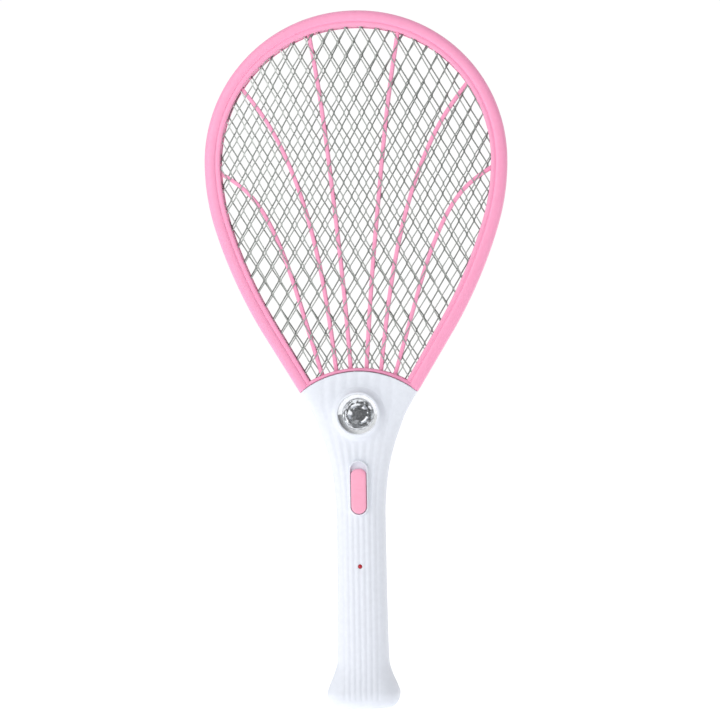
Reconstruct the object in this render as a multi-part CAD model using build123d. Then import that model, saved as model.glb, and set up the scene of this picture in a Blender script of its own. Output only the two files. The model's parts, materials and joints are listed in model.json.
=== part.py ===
from build123d import *
import os
from math import cos, pi, radians, sin

# Electric fly swatter: a racket head with three stacked wire meshes on a hollow two-shell handle
# that holds the battery, the high-voltage board, a torch and a retractable mains plug.
# Millimetres. The racket stands on its pommel: +Z runs up the handle to the head, the front
# faces -Y, and +X is to the right of someone who looks at the front. The origin is the centre
# of the flat pommel base. Shells and rim halves part on the plane y = 0.

# Whole object
LENGTH = 500.0

# Head outline: tangent arcs from the crown down the right side, as (radius, angle from +Z where
# the arc ends), then a straight run down to the neck. The left side is its mirror image.
HEAD_ARCS = [(114.9, 9.6), (107.9, 90.0), (163.7, 107.3), (348.9, 120.3)]
HEAD_FOOT_Z = 190.0

# Rim section, measured inwards from the outline
RIM_WIDTH = 11.6
RIM_HALF_DEPTH = 7.0
RIM_WALL = 2.0
RIM_EDGE_RADIUS = 2.4
LIP_WIDTH = 3.6
LIP_STEP = 0.7
CORE_INSET = 7.4
FIT_GAP = 0.15
OVERLAP = 0.5

# Arch where the rim meets the handle: centre height and radius of its lower and upper edges
ARCH_LOW = (174.4, 66.6)
ARCH_HIGH = (170.1, 73.2)

# Stack through the head: half the centre mesh, then a ribbed spacer, then an outer mesh
MESH_THICKNESS = 0.6
SPACER_THICKNESS = 2.7
MESH_HALF = MESH_THICKNESS / 2
SPACER_OUT = MESH_HALF + SPACER_THICKNESS
STACK_OUT = SPACER_OUT + MESH_THICKNESS

# Expanded metal of the meshes
DIAMOND_WIDTH = 10.95
DIAMOND_HEIGHT = 20.1
DIAMOND_REACH = (110.0, 170.0)
STRAND = 0.8
MESH_BORDER = 10.4
MESH_ARCH_BORDER = 1.0
MESH_FOOT_R = 64.0
TAB_WIDTH = 5.0
TAB_END_Z = 197.0
TAB_TOP_Z = 240.4
TAB_X = {"mesh_front": -10.0, "mesh_centre": 0.0, "mesh_rear": 10.0}

# Ribs of one side, each a smooth line through (x, z) points, their width, and the radius about
# the lower arch's centre where the spacer's tang ends
RIB_WIDTH = 2.7
SPACER_FOOT_R = 46.0
RIBS = [
    [(33.5, 492.0), (26.2, 448.0), (16.3, 365.0), (9.9, 300.0), (5.5, 240.0)],
    [(87.0, 453.0), (65.7, 425.0), (44.7, 382.0), (25.3, 308.0), (15.5, 236.0)],
    [(102.0, 388.0), (79.4, 372.0), (59.4, 341.0), (38.6, 280.0), (25.0, 234.0)],
]

# Screws of the rim, on the rear, by angle from +Z on the right side
RIM_SCREW_ANGLES = [38.0, 76.0, 104.0, 117.0]
RIM_SCREW_INSET = 4.8
RIM_BOSS_R = 2.3
RIM_SCREW_R = 1.0
RIM_HEAD_R = 1.9
RIM_HEAD_SEAT = 4.6
RIM_HEAD_HEIGHT = 1.3
RIM_TIP_GAP = 0.8

# Every screw: room round its shank and head, how much thinner its shank is than its hole, and its
# cross recess as shares of the head's radius (length, width, depth)
SHANK_ROOM = 0.3
HEAD_ROOM = 0.2
SHANK_FIT = 0.03
CROSS_RECESS = (1.3, 0.28, 0.33)

# Handle sections: height, half width, half depth, exponent of the superellipse
SECTIONS = [
    (0.0, 19.0, 13.5, 2.6),
    (1.5, 23.0, 17.0, 2.6),
    (5.0, 25.7, 19.0, 2.6),
    (10.0, 26.3, 19.6, 2.6),
    (16.0, 24.4, 18.5, 2.5),
    (24.0, 21.1, 16.9, 2.4),
    (33.0, 18.8, 16.1, 2.3),
    (50.0, 18.3, 16.0, 2.3),
    (100.0, 17.8, 16.0, 2.3),
    (138.0, 17.7, 15.8, 2.3),
    (154.0, 18.5, 15.3, 2.4),
    (168.0, 20.2, 14.6, 2.5),
    (184.0, 23.8, 13.4, 2.8),
    (198.0, 28.4, 12.2, 3.1),
    (210.0, 33.2, 11.2, 3.5),
    (222.0, 39.8, 10.2, 4.0),
    (232.0, 45.7, 9.6, 4.0),
    (243.0, 52.1, 9.2, 4.0),
]
SHELL_WALL = 2.0
SECTION_POINTS = 32
FLUTE_PITCH = 3.95
FLUTE_COUNT = 7
FLUTE_R = 1.6
FLUTE_DEPTH = 0.7
FLUTE_FRONT_Z = (36.0, 134.0)
FLUTE_REAR_Z = (78.0, 140.0)
HANDLE_DEEPEST = 30.0

# Handle screws, on the rear: x, z, and depth of the head's seat
HANDLE_SCREWS = [(27.2, 219.5, 6.7), (13.2, 128.0, 7.2), (14.0, 32.0, 8.5)]
HANDLE_BOSS_R = 2.6
HANDLE_SCREW_R = 1.4
HANDLE_HEAD_R = 2.4
HANDLE_CUP_R = 3.5
HANDLE_HEAD_HEIGHT = 1.7
CUP_FLOOR = 1.6
NECK_HOLE_DEPTH = 8.0
GRIP_HOLE_DEPTH = 7.0
TIP_GAP = 0.4
LEG_X = (24.0, 30.4)
LEG_Z = (215.0, 236.4)
LEG_OUT = 5.6

# Base plate and mains plug
BASE_SIZE = (32.0, 20.0)
BASE_THICKNESS = 2.0
BASE_FLANGE = 1.5
BASE_FLANGE_THICKNESS = 1.2
BASE_CORNER_R = 4.0
BASE_GAP = 0.05
BLADE_SLOT_GAP = 0.4
BLADE_SPACING = 12.7
BLADE_THICKNESS = 1.5
BLADE_WIDTH = 6.3
BLADE_TIP_Z = 0.8
BLADE_TOP_Z = 50.0
BLADE_TAIL_Z = (48.0, 56.0)
BLADE_BEVEL = 0.5
PLUG_TRAVEL = 17.0
CARRIAGE_X = 9.8
CARRIAGE_Y = (-3.9, 6.0)
CARRIAGE_Z = (21.0, 62.0)
CARRIAGE_POCKET = (3.5, 5.9, 26.0)
CARRIAGE_BEVEL = 0.8
CONTACT_LINE = [(-9.8, 42.0), (-9.8, 34.0), (-4.9, 36.5), (-6.2, 39.5)]
CONTACT_THICKNESS = 0.4
CONTACT_WIDTH = 3.0
THUMB_STEM_Z = (57.0, 65.0)
THUMB_STEM_X = 2.3
THUMB_PAD_Z = (52.5, 69.5)
THUMB_PAD_X = 6.0
THUMB_PAD_Y = (16.6, 18.9)
THUMB_PAD_CORNER_R = 2.5
THUMB_PAD_BEVEL = 0.6
THUMB_RIDGE = (8.0, 0.9, 1.0)
THUMB_RIDGE_PITCH = 2.6
THUMB_RIDGE_COUNT = 5
SLIDE_GAP = 0.4

# Slide switch: the cap rests at the bottom of its well and travels up
SWITCH_TRAVEL = 4.0
CAP_WIDTH = 11.0
CAP_HEIGHT = 32.0
CAP_FOOT_Z = 139.6
CAP_Y = (-18.6, -14.8)
WELL_WIDTH = 11.6
WELL_HEIGHT = 37.4
WELL_FLOOR = 14.6
WELL_FLOOR_WALL = 1.3
WELL_CENTRE_Z = 157.8
SURROUND_WALL = 0.9
SURROUND_FRONT = 17.3
CAP_EDGE_R = 1.2
CAP_GROOVE_R = 0.25
STEM_HALF_X = 1.8
STEM_Z = (151.6, 159.6)
STEM_BACK_Y = -12.8
SOCKET_FRONT_Y = -14.1
LEVER_Z = 155.6
LEVER_HALF = 1.0
LEVER_Y = (-14.0, -12.0)
LEVER_FOOT = (2.0, 3.0)
LEVER_FOOT_Y = (-12.1, -10.2)
SWITCH_Z = (147.6, 167.6)
SWITCH_HALF_X = 3.5
SWITCH_FRONT_Y = -11.5
SWITCH_POCKET_Y = -10.0
COVER_WALL = 0.4
COVER_Y = -12.6
PIN_ROWS = 4
PIN_PITCH = 4.0
PIN_X = 2.0
PIN_R = 0.4

# Torch
TORCH_Z = 210.5
BEZEL_TOP_R = 15.9
BEZEL_FOOT_R = 17.4
BEZEL_FRONT = 17.3
BEZEL_STEP = 11.0
BEZEL_BACK = 9.0
BEZEL_BORE_R = 13.9
LENS_R = 14.9
LENS_OPEN_R = 14.2
LENS_Y = (-16.6, -15.5)
TORCH_BOARD_Y = (-5.0, -3.9)
TORCH_BOARD_R = 9.0

# Boards
BOARD_Y = (-8.8, -7.2)
BOARD_HALF_WIDTH = 10.0
BOARD_Z = (92.0, 192.0)
BOARD_SCREWS = [(8.0, 96.0), (8.0, 187.0)]
BOARD_SCREW_R = 1.0
BOARD_SCREW_TIP_Y = -11.4
BOARD_HEAD = (1.9, 1.2)
BOARD_POST_R = 2.0
BOARD_POST_Y = -12.5
CHARGER_HALF_WIDTH = 9.0
CHARGER_Y = (-11.2, -10.0)
CHARGER_Z = (26.0, 86.0)

# Indicator lamp: radius and front of its body, then its collar
LED_Z = 102.0
LED_R = 1.5
LED_Y = (-15.4, -11.2)
LED_COLLAR_R = 1.9
LED_COLLAR_Y = -10.6
LED_LEG = (0.8, 0.3)

# Components as boxes (x0, x1, y0, y1, z0, z1), and rows of them as first z and pitch
STORAGE_CAPACITOR = (-9.5, -2.5, -6.8, 5.0, 146.0, 164.0)
STORAGE_LEGS_Z = (149.0, 161.0)
MULTIPLIER_CAPACITOR = (0.5, 9.5, -6.8, 1.0, 146.0, 150.6)
MULTIPLIER_LEGS_X = (2.5, 7.5)
MULTIPLIER_PITCH = 7.0
MULTIPLIER_DIODES_Z = (166.6, 4.3)
RESISTORS_Z = (112.0, 4.0)
RECTIFIERS_Z = (46.0, 4.4)

# Axial components: body radius, body length and span of the leads
MULTIPLIER_DIODE = (1.3, 5.0, 12.0)
RESISTOR = (1.2, 6.0, 12.0)
RECTIFIER = (1.35, 5.0, 10.0)
BODY_LIFT = 0.3
AXIAL_LEG_R = 0.3

# Other components
DROPPER_CAPACITOR_X = 6.5
DROPPER_CAPACITOR_Z = (71.0, 83.0)
FILM_EDGE_R = 0.7
LEG_R = 0.35
TRANSISTOR_X = 3.8
TRANSISTOR_LIFT = (2.0, 4.8)
TRANSISTOR_Z = (180.5, 191.0)
TRANSISTOR_HOLE = (188.0, 1.6)
TRANSISTOR_PINS_X = (-2.3, 0.0, 2.3)

# Transformer: the core's outside and its window, then the bobbin's sleeve and flanges
TRANSFORMER_Z = 133.0
CORE = (8.0, -3.4, 1.8, 7.0)
CORE_WINDOW_X = (2.2, 6.0)
CORE_WINDOW_HALF_Z = 5.0
SLEEVE = (2.9, -4.1, 2.5)
SLEEVE_HOLE = (2.25, -3.45, 1.85)
FLANGE = (5.8, -6.4, 4.8)
FLANGE_THICKNESS = 0.8
BOBBIN_HALF_Z = 4.9
COIL = (5.3, -6.2, 4.4)
COIL_CORNER_R = 1.6

# Battery
BATTERY_X = 11.0
BATTERY_Y = (-5.0, 10.4)
BATTERY_Z = (68.0, 118.0)
BATTERY_CORNER_R = 1.2
BATTERY_PAD_X = 9.0
BATTERY_PAD_Z = (99.0, 116.0)
BATTERY_SHELVES = [(66.0, 67.6), (118.4, 120.0)]
SHELF_X = 12.0
SHELF_Y = (7.0, 15.0)

# Rails beside the sled, as (z0, z1), with their y range and thickness
GUIDE_RAILS = [(4.0, 26.0), (36.0, 66.0)]
RAIL_Y = (0.5, 15.0)
RAIL_THICKNESS = 1.2

# Leads: radius and inside bend of each kind, and the heights they turn at
BATTERY_LEAD = (0.7, 1.6)
BATTERY_LEAD_X = 6.0
BATTERY_LEAD_Y = 3.0
BATTERY_LEAD_Z = 121.4
MESH_LEAD = (0.65, 1.4)
MESH_LEAD_Z = 178.6
TORCH_LEAD = (0.5, 1.2)
TORCH_LEAD_X = 3.0
TORCH_LEAD_BEND_Z = (195.6, 198.4)
TORCH_LEAD_TOP_Z = 201.9

BIG = 200.0


# ---------------------------------------------------------------- helpers

def block(x0, x1, y0, y1, z0, z1):
    """Box between two opposite corners."""
    centre = Pos((x0 + x1) / 2, (y0 + y1) / 2, (z0 + z1) / 2)
    return centre * Box(x1 - x0, y1 - y0, z1 - z0)


def slab(sketch, y0, y1):
    """A flat (x, z) sketch given thickness from y0 to y1."""
    return extrude(Plane.XZ.offset(-y1) * sketch, amount=y1 - y0)


def rod(x, z, y0, y1, radius):
    """Cylinder along Y."""
    return slab(Pos(x, z) * Circle(radius), y0, y1)


def turned(profile):
    """Closed (radius, y) profile turned about the torch's axis."""
    face = make_face(Polyline(*profile, close=True))
    return Pos(0, 0, TORCH_Z) * revolve(face, Axis.Y)


def mirrored(points):
    """Each (x, z) point and its mirror image across x = 0."""
    return [(side * x, z) for x, z in points for side in (-1, 1)]


def both_sides(shape):
    """The shape and its mirror image across x = 0."""
    return shape + mirror(shape, Plane.YZ)


def wire_lead(points, radius, bend):
    """Round insulated wire through points, with its corners rounded."""
    path = FilletPolyline(*points, radius=bend)
    section = Plane(origin=path @ 0, z_dir=path % 0) * Circle(radius)
    return sweep(section, path=path)


def axial_component(z, y_board, side, body_r, body_length, lead_span):
    """Resistor or diode lying across a board: body along X and two legs. side is +1 for rear."""
    lift = y_board + side * (body_r + BODY_LIFT)
    body = Pos(0, lift, z) * Rot(0, 90, 0) * Cylinder(body_r, body_length)
    run = Pos(0, lift, z) * Rot(0, 90, 0) * Cylinder(AXIAL_LEG_R, lead_span)
    leg = rod(lead_span / 2, z, min(y_board, lift), max(y_board, lift), AXIAL_LEG_R)
    return body + run + both_sides(leg)


def component_row(count, rows_z, y_board, side, sizes):
    """Equal resistors or diodes up a board. rows_z is the first one's height and the pitch."""
    first, pitch = rows_z
    row = [axial_component(first + pitch * index, y_board, side, *sizes) for index in range(count)]
    return Compound(children=row)


def cross_screw(x, z, tip, seat, hole_r, head_r, head_height):
    """Self-tapping screw along Y, its tip towards the front, with a cross recess in its head."""
    length, width, depth = [share * head_r for share in CROSS_RECESS]
    cross = Box(length, 2 * depth, width) + Box(width, 2 * depth, length)
    head = rod(x, z, seat, seat + head_height, head_r)
    return rod(x, z, tip, seat, hole_r - SHANK_FIT) + head - Pos(x, seat + head_height, z) * cross


def film_capacitor(box, edge_r, legs, leg_r, leg_y):
    """Dipped film capacitor with a leg at each (x, z) point."""
    body = fillet(block(*box).edges(), edge_r)
    for x, z in legs:
        body += rod(x, z, *leg_y, leg_r)
    return body


# ---------------------------------------------------------------- head outline

def arc_chain():
    """The outline's arcs as (centre x, centre z, radius, start angle, end angle)."""
    x = 0.0
    z = LENGTH - HEAD_ARCS[0][0]
    start = 0.0
    chain = []
    for index, (radius, end) in enumerate(HEAD_ARCS):
        chain.append((x, z, radius, start, end))
        if index + 1 < len(HEAD_ARCS):
            step = radius - HEAD_ARCS[index + 1][0]
            x += step * sin(radians(end))
            z += step * cos(radians(end))
        start = end
    return chain


def outline_point(angle, inset):
    """Point on the right side of the outline at an angle from +Z, moved inwards by inset."""
    for x, z, radius, start, end in arc_chain():
        if start <= angle <= end:
            reach = radius - inset
            return (x + reach * sin(radians(angle)), z + reach * cos(radians(angle)))


def head_face(inset):
    """The head's outline moved inwards by inset, run down to HEAD_FOOT_Z."""
    edges = []
    for x, z, radius, start, end in arc_chain():
        edges.append(CenterArc((x, z), radius - inset, 90 - start, start - end))
    last = HEAD_ARCS[-1][1]
    tangent = outline_point(last, inset)
    drop = tangent[1] - HEAD_FOOT_Z
    foot = (tangent[0] + drop * cos(radians(last)) / sin(radians(last)), HEAD_FOOT_Z)
    edges.append(Line(tangent, foot))
    edges.append(Line(foot, (0, HEAD_FOOT_Z)))
    half = make_face(Wire(edges + [Line((0, HEAD_FOOT_Z), (0, LENGTH - inset))]))
    return half + mirror(half, Plane.YZ)


def disc(arch, grow=0.0):
    """Disc under an arch line, its radius grown by grow."""
    return Pos(0, arch[0]) * Circle(arch[1] + grow)


def opening_face(grow=0.0):
    """The opening in the rim, grown by grow on every side."""
    return head_face(RIM_WIDTH - grow) - disc(ARCH_HIGH, -grow)


def rim_screw_points():
    """Centres of the rim screws, right side, crown, then left side."""
    right = [outline_point(angle, RIM_SCREW_INSET) for angle in RIM_SCREW_ANGLES]
    crown = outline_point(0.0, RIM_SCREW_INSET)
    left = [(-x, z) for x, z in right]
    return right + [crown] + left


# ---------------------------------------------------------------- head parts

def rim_half():
    """Front half of the rim, without bosses: channel section, lip round the opening, and legs."""
    ring = head_face(0.0) - disc(ARCH_LOW) - opening_face()
    body = slab(ring, -RIM_HALF_DEPTH, 0)
    front = body.faces().sort_by(Axis.Y)[0]
    edge_limit = ARCH_LOW[0] + ARCH_LOW[1] + 2
    rounded = [e for e in front.outer_wire().edges() if e.center().Z > edge_limit]
    body = fillet(rounded, RIM_EDGE_RADIUS)
    lip = opening_face(LIP_WIDTH)
    body -= slab(lip, -RIM_HALF_DEPTH, -RIM_HALF_DEPTH + LIP_STEP)
    channel = head_face(RIM_WALL) - disc(ARCH_LOW, RIM_WALL) - opening_face(RIM_WALL)
    body -= slab(channel, -RIM_HALF_DEPTH + RIM_WALL, 0)
    body -= slab(head_face(CORE_INSET - FIT_GAP), -STACK_OUT, 0)
    leg = block(*LEG_X, -LEG_OUT, -STACK_OUT - FIT_GAP, *LEG_Z)
    leg -= slab(opening_face(), -LEG_OUT, 0)
    return body + both_sides(leg)


def neck_screw_holes(y0, y1):
    """Clearance holes for the two handle screws that also pass through the head."""
    x, z, _ = HANDLE_SCREWS[0]
    return [rod(side * x, z, y0, y1, HANDLE_SCREW_R + SHANK_ROOM) for side in (-1, 1)]


def rim_front():
    """Front rim half with blind screw bosses."""
    rim = rim_half()
    for x, z in rim_screw_points():
        rim += rod(x, z, -RIM_HALF_DEPTH + RIM_WALL - OVERLAP, 0, RIM_BOSS_R)
        rim -= rod(x, z, -RIM_HALF_DEPTH + RIM_WALL, 0, RIM_SCREW_R)
    return rim - neck_screw_holes(-LEG_OUT, 0)


def rim_rear():
    """Rear rim half, with sunk seats for the screw heads."""
    rim = mirror(rim_half(), Plane.XZ)
    for x, z in rim_screw_points():
        rim += rod(x, z, 0, RIM_HALF_DEPTH - RIM_WALL + OVERLAP, RIM_BOSS_R)
        rim -= rod(x, z, 0, RIM_HALF_DEPTH, RIM_SCREW_R + FIT_GAP)
        rim -= rod(x, z, RIM_HEAD_SEAT, RIM_HALF_DEPTH, RIM_HEAD_R + HEAD_ROOM)
    return rim - neck_screw_holes(0, LEG_OUT)


def rim_screws():
    """Nine self-tapping screws that hold the rim halves together."""
    tip = -RIM_HALF_DEPTH + RIM_WALL + RIM_TIP_GAP
    sizes = (RIM_HEAD_SEAT, RIM_SCREW_R, RIM_HEAD_R, RIM_HEAD_HEIGHT)
    return Compound(children=[cross_screw(x, z, tip, *sizes) for x, z in rim_screw_points()])


def rib_lines():
    """The ribs' centre lines as flat sketches of the ribs' width, both sides."""
    ribs = Sketch()
    for points in RIBS:
        for side in (-1, 1):
            line = Spline(*[(side * x, z) for x, z in points])
            ribs += trace(line, line_width=RIB_WIDTH)
    return ribs


def rib_spacer():
    """Ring with six fanned ribs that keeps two meshes apart, and a tang that the neck clamps."""
    outer = head_face(CORE_INSET) - disc((ARCH_LOW[0], SPACER_FOOT_R))
    ring = outer - opening_face()
    ribs = rib_lines() & outer
    return slab(ring + ribs, -SPACER_OUT, -MESH_HALF) - neck_screw_holes(-SPACER_OUT, 0)


def diamond_holes():
    """The diamonds of the expanded metal, cut off at the solid border."""
    half_w = DIAMOND_WIDTH / 2
    half_h = DIAMOND_HEIGHT / 2
    reach = half_w * half_h / (half_w ** 2 + half_h ** 2) ** 0.5
    shrink = (reach - STRAND / 2) / reach
    w = half_w * shrink
    h = half_h * shrink
    hole = make_face(Polyline((w, 0), (0, h), (-w, 0), (0, -h), close=True))
    border = head_face(MESH_BORDER) - disc(ARCH_HIGH, -MESH_ARCH_BORDER)
    middle = outline_point(90.0, 0.0)[1]
    columns = int(DIAMOND_REACH[0] / half_w)
    rows = int(DIAMOND_REACH[1] / half_h)
    whole = []
    for column in range(-columns, columns + 1):
        for row in range(-rows, rows + 1):
            if (column + row) % 2 == 0:
                whole.append(Pos(column * half_w, middle + row * half_h) * hole)
    return Sketch() + whole & border


def wire_mesh(name, y_middle, holes):
    """One mesh: expanded steel sheet with a solid border and a solder tab down into the neck."""
    plate = head_face(CORE_INSET) - disc((ARCH_LOW[0], MESH_FOOT_R))
    tab = Pos(TAB_X[name], (TAB_END_Z + TAB_TOP_Z) / 2) * Rectangle(TAB_WIDTH, TAB_TOP_Z - TAB_END_Z)
    sheet = plate + tab - holes
    return slab(sheet, y_middle - MESH_HALF, y_middle + MESH_HALF)


# ---------------------------------------------------------------- handle shells

def section_face(z, half_width, half_depth, exponent):
    """Superellipse section of the handle at height z."""
    points = []
    for index in range(SECTION_POINTS):
        angle = 2 * pi * index / SECTION_POINTS
        c = cos(angle)
        s = sin(angle)
        x = half_width * abs(c) ** (2 / exponent) * (1 if c >= 0 else -1)
        y = half_depth * abs(s) ** (2 / exponent) * (1 if s >= 0 else -1)
        points.append((x, y))
    return Pos(0, 0, z) * make_face(Spline(*points, periodic=True))


def handle_solid(inset):
    """The handle's outer shape, moved inwards by inset."""
    faces = []
    for z, half_width, half_depth, exponent in SECTIONS:
        faces.append(section_face(z, half_width - inset, half_depth - inset, exponent))
    return loft(faces)


def neck_limit():
    """Everything below the arch line, with a small gap to the rim."""
    cap = slab(disc(ARCH_LOW, -FIT_GAP), -BIG, BIG)
    return cap + block(-BIG, BIG, -BIG, BIG, -BIG, ARCH_LOW[0])


def half_space(side):
    """Everything in front of (-1) or behind (+1) the parting plane."""
    return block(-BIG, BIG, min(0, side * BIG), max(0, side * BIG), -BIG, LENGTH)


def surface_depth(x, z):
    """Half depth of the handle's surface at x, read from the sections beside height z."""
    above = next(i for i, row in enumerate(SECTIONS) if row[0] >= z)
    low = SECTIONS[max(above - 1, 0)]
    high = SECTIONS[above]
    share = 0.0 if high[0] == low[0] else (z - low[0]) / (high[0] - low[0])
    width, depth, power = [low[i] + share * (high[i] - low[i]) for i in (1, 2, 3)]
    return depth * (1 - (abs(x) / width) ** power) ** (1 / power)


def flutes(side, z_range):
    """Round grooves that run up one face of the grip."""
    cuts = []
    middle = (z_range[0] + z_range[1]) / 2
    first = -(FLUTE_COUNT - 1) / 2
    for index in range(FLUTE_COUNT):
        x = (first + index) * FLUTE_PITCH
        y = side * (surface_depth(x, middle) + FLUTE_R - FLUTE_DEPTH)
        cuts.append(Pos(x, y, middle) * Cylinder(FLUTE_R, z_range[1] - z_range[0]))
    return cuts


def base_outline(grow):
    """Rounded outline of the base plate, grown by grow."""
    width = BASE_SIZE[0] + 2 * grow
    depth = BASE_SIZE[1] + 2 * grow
    return RectangleRounded(width, depth, BASE_CORNER_R + grow)


def shell_blank(side, outer, cavity):
    """Half of the hollow handle with the opening for the base plate."""
    shell = outer & (half_space(side) & neck_limit())
    room = cavity & block(-BIG, BIG, -BIG, BIG, BASE_THICKNESS, LENGTH)
    return shell - [room, extrude(base_outline(BASE_GAP), amount=BASE_THICKNESS)]


def handle_bosses(side):
    """Screw bosses of one shell, from beyond its wall to the parting plane or the rim's legs."""
    bosses = []
    for x, z, _ in HANDLE_SCREWS:
        start = LEG_OUT + FIT_GAP if z == HANDLE_SCREWS[0][1] else 0.0
        ends = sorted((side * start, side * HANDLE_DEEPEST))
        bosses += [rod(x * across, z, *ends, HANDLE_BOSS_R) for across in (-1, 1)]
    return bosses


def well_outline(grow):
    """Outline of the switch's well, grown by grow."""
    slot = SlotOverall(WELL_HEIGHT + 2 * grow, WELL_WIDTH + 2 * grow, rotation=90)
    return Pos(0, WELL_CENTRE_Z) * slot


def handle_front(outer, cavity):
    """Front shell: flutes, switch well, torch bezel, board posts and blind screw bosses."""
    floor_back = -WELL_FLOOR + WELL_FLOOR_WALL
    surround = slab(well_outline(SURROUND_WALL), -SURROUND_FRONT, floor_back)
    bezel = [(BEZEL_BORE_R, -BEZEL_BACK), (BEZEL_FOOT_R, -BEZEL_BACK), (BEZEL_FOOT_R, -BEZEL_STEP)]
    bezel += [(BEZEL_TOP_R, -BEZEL_FRONT), (BEZEL_BORE_R, -BEZEL_FRONT)]
    posts = [rod(x, z, BOARD_POST_Y, BOARD_Y[0], BOARD_POST_R) for x, z in mirrored(BOARD_SCREWS)]
    inner = (Part() + posts + handle_bosses(-1)) & outer
    shell = shell_blank(-1, outer, cavity) + [inner, surround, turned(bezel)]
    slot_x = STEM_HALF_X + SLIDE_GAP
    slot_z = (STEM_Z[0] - SLIDE_GAP, STEM_Z[1] + SWITCH_TRAVEL + SLIDE_GAP)
    room_x = SWITCH_HALF_X + COVER_WALL + OVERLAP
    room_z = (SWITCH_Z[0] - SLIDE_GAP, SWITCH_Z[1] + SLIDE_GAP)
    cuts = [
        slab(well_outline(0.0), -BIG, -WELL_FLOOR),
        block(-slot_x, slot_x, -BIG, BOARD_Y[0], *slot_z),
        block(-room_x, room_x, floor_back, BOARD_Y[0], *room_z),
        rod(0, TORCH_Z, -BEZEL_FRONT, 0, LENS_OPEN_R),
        rod(0, TORCH_Z, LENS_Y[0], 0, LENS_R + FIT_GAP),
        rod(0, LED_Z, -HANDLE_DEEPEST, LED_Y[1], LED_R + FIT_GAP),
    ]
    hole_y = (BOARD_SCREW_TIP_Y - HEAD_ROOM, BOARD_Y[0])
    cuts += [rod(x, z, *hole_y, BOARD_SCREW_R) for x, z in mirrored(BOARD_SCREWS)]
    for x, z, _ in HANDLE_SCREWS:
        cuts += [rod(side * x, z, -handle_hole_depth(z), 0, HANDLE_SCREW_R) for side in (-1, 1)]
    return shell - (cuts + flutes(-1, FLUTE_FRONT_Z))


def handle_hole_depth(z):
    """Depth in the front shell of the blind hole for the handle screw at height z."""
    return NECK_HOLE_DEPTH if z == HANDLE_SCREWS[0][1] else GRIP_HOLE_DEPTH


def screw_cups():
    """Wider ends of the rear bosses, round the sunk screw heads."""
    cups = []
    for x, z, seat in HANDLE_SCREWS:
        start = max(seat - CUP_FLOOR, LEG_OUT + FIT_GAP)
        cups += [rod(side * x, z, start, HANDLE_DEEPEST, HANDLE_CUP_R) for side in (-1, 1)]
    return cups


def handle_rear(outer, cavity):
    """Rear shell: screw seats, thumb slot, battery shelves and the plug's guide rails."""
    inner = handle_bosses(1) + screw_cups()
    for z0, z1 in BATTERY_SHELVES:
        inner.append(block(-SHELF_X, SHELF_X, *SHELF_Y, z0, z1))
    rail_inside = CARRIAGE_X + SLIDE_GAP
    for side in (-1, 1):
        rail = sorted((side * rail_inside, side * (rail_inside + RAIL_THICKNESS)))
        for z0, z1 in GUIDE_RAILS:
            inner.append(block(*rail, *RAIL_Y, z0, z1))
    shell = shell_blank(1, outer, cavity) + ((Part() + inner) & outer)
    slot_x = THUMB_STEM_X + SLIDE_GAP
    slot_z = (THUMB_STEM_Z[0] - PLUG_TRAVEL - SLIDE_GAP, THUMB_STEM_Z[1] + SLIDE_GAP)
    cuts = [block(-slot_x, slot_x, SHELF_Y[0], HANDLE_DEEPEST, *slot_z)]
    for x, z, seat in HANDLE_SCREWS:
        for side in (-1, 1):
            cuts.append(rod(side * x, z, 0, BIG, HANDLE_SCREW_R + HEAD_ROOM))
            cuts.append(rod(side * x, z, seat, BIG, HANDLE_HEAD_R + HEAD_ROOM))
    return shell - (cuts + flutes(1, FLUTE_REAR_Z))


def handle_screws():
    """Six self-tapping screws that close the handle from the rear."""
    screws = []
    for x, z, seat in HANDLE_SCREWS:
        tip = TIP_GAP - handle_hole_depth(z)
        sizes = (tip, seat, HANDLE_SCREW_R, HANDLE_HEAD_R, HANDLE_HEAD_HEIGHT)
        screws += [cross_screw(side * x, z, *sizes) for side in (-1, 1)]
    return Compound(children=screws)


def base_plate():
    """Insert that closes the pommel, flush underneath, with two slots for the plug's blades."""
    plate = extrude(base_outline(0.0), amount=BASE_THICKNESS)
    flange = extrude(base_outline(BASE_FLANGE), amount=BASE_FLANGE_THICKNESS)
    plate += Pos(0, 0, BASE_THICKNESS) * flange
    slot = Box(BLADE_THICKNESS + 2 * BLADE_SLOT_GAP, BLADE_WIDTH + 2 * BLADE_SLOT_GAP, HANDLE_DEEPEST)
    return plate - [Pos(side * BLADE_SPACING / 2, 0, 0) * slot for side in (-1, 1)]


# ---------------------------------------------------------------- plug

def plug_carriage():
    """Sled that carries both blades."""
    sled = block(-CARRIAGE_X, CARRIAGE_X, *CARRIAGE_Y, *CARRIAGE_Z)
    for side in (-1, 1):
        sled -= blade_blank(side)
    half_x, depth, height = CARRIAGE_POCKET
    front, foot = CARRIAGE_Y[0], CARRIAGE_Z[0]
    sled -= block(-half_x, half_x, front, front + depth, foot, foot + height)
    return chamfer(sled.edges().filter_by(Axis.Z).group_by(Axis.X)[0], CARRIAGE_BEVEL)


def blade_blank(side):
    """One flat blade, reaching back to the sled's front face at its tail."""
    x = side * BLADE_SPACING / 2
    half = BLADE_THICKNESS / 2
    blade = block(x - half, x + half, -BLADE_WIDTH / 2, BLADE_WIDTH / 2, BLADE_TIP_Z, BLADE_TOP_Z)
    tail = block(x - half, x + half, CARRIAGE_Y[0], 0, *BLADE_TAIL_Z)
    return blade + tail


def plug_blade(side):
    """One blade with its end chamfered to enter a socket."""
    blade = blade_blank(side)
    tip = blade.edges().group_by(Axis.Z)[0].filter_by(Axis.Y)
    return chamfer(tip, BLADE_BEVEL)


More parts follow.
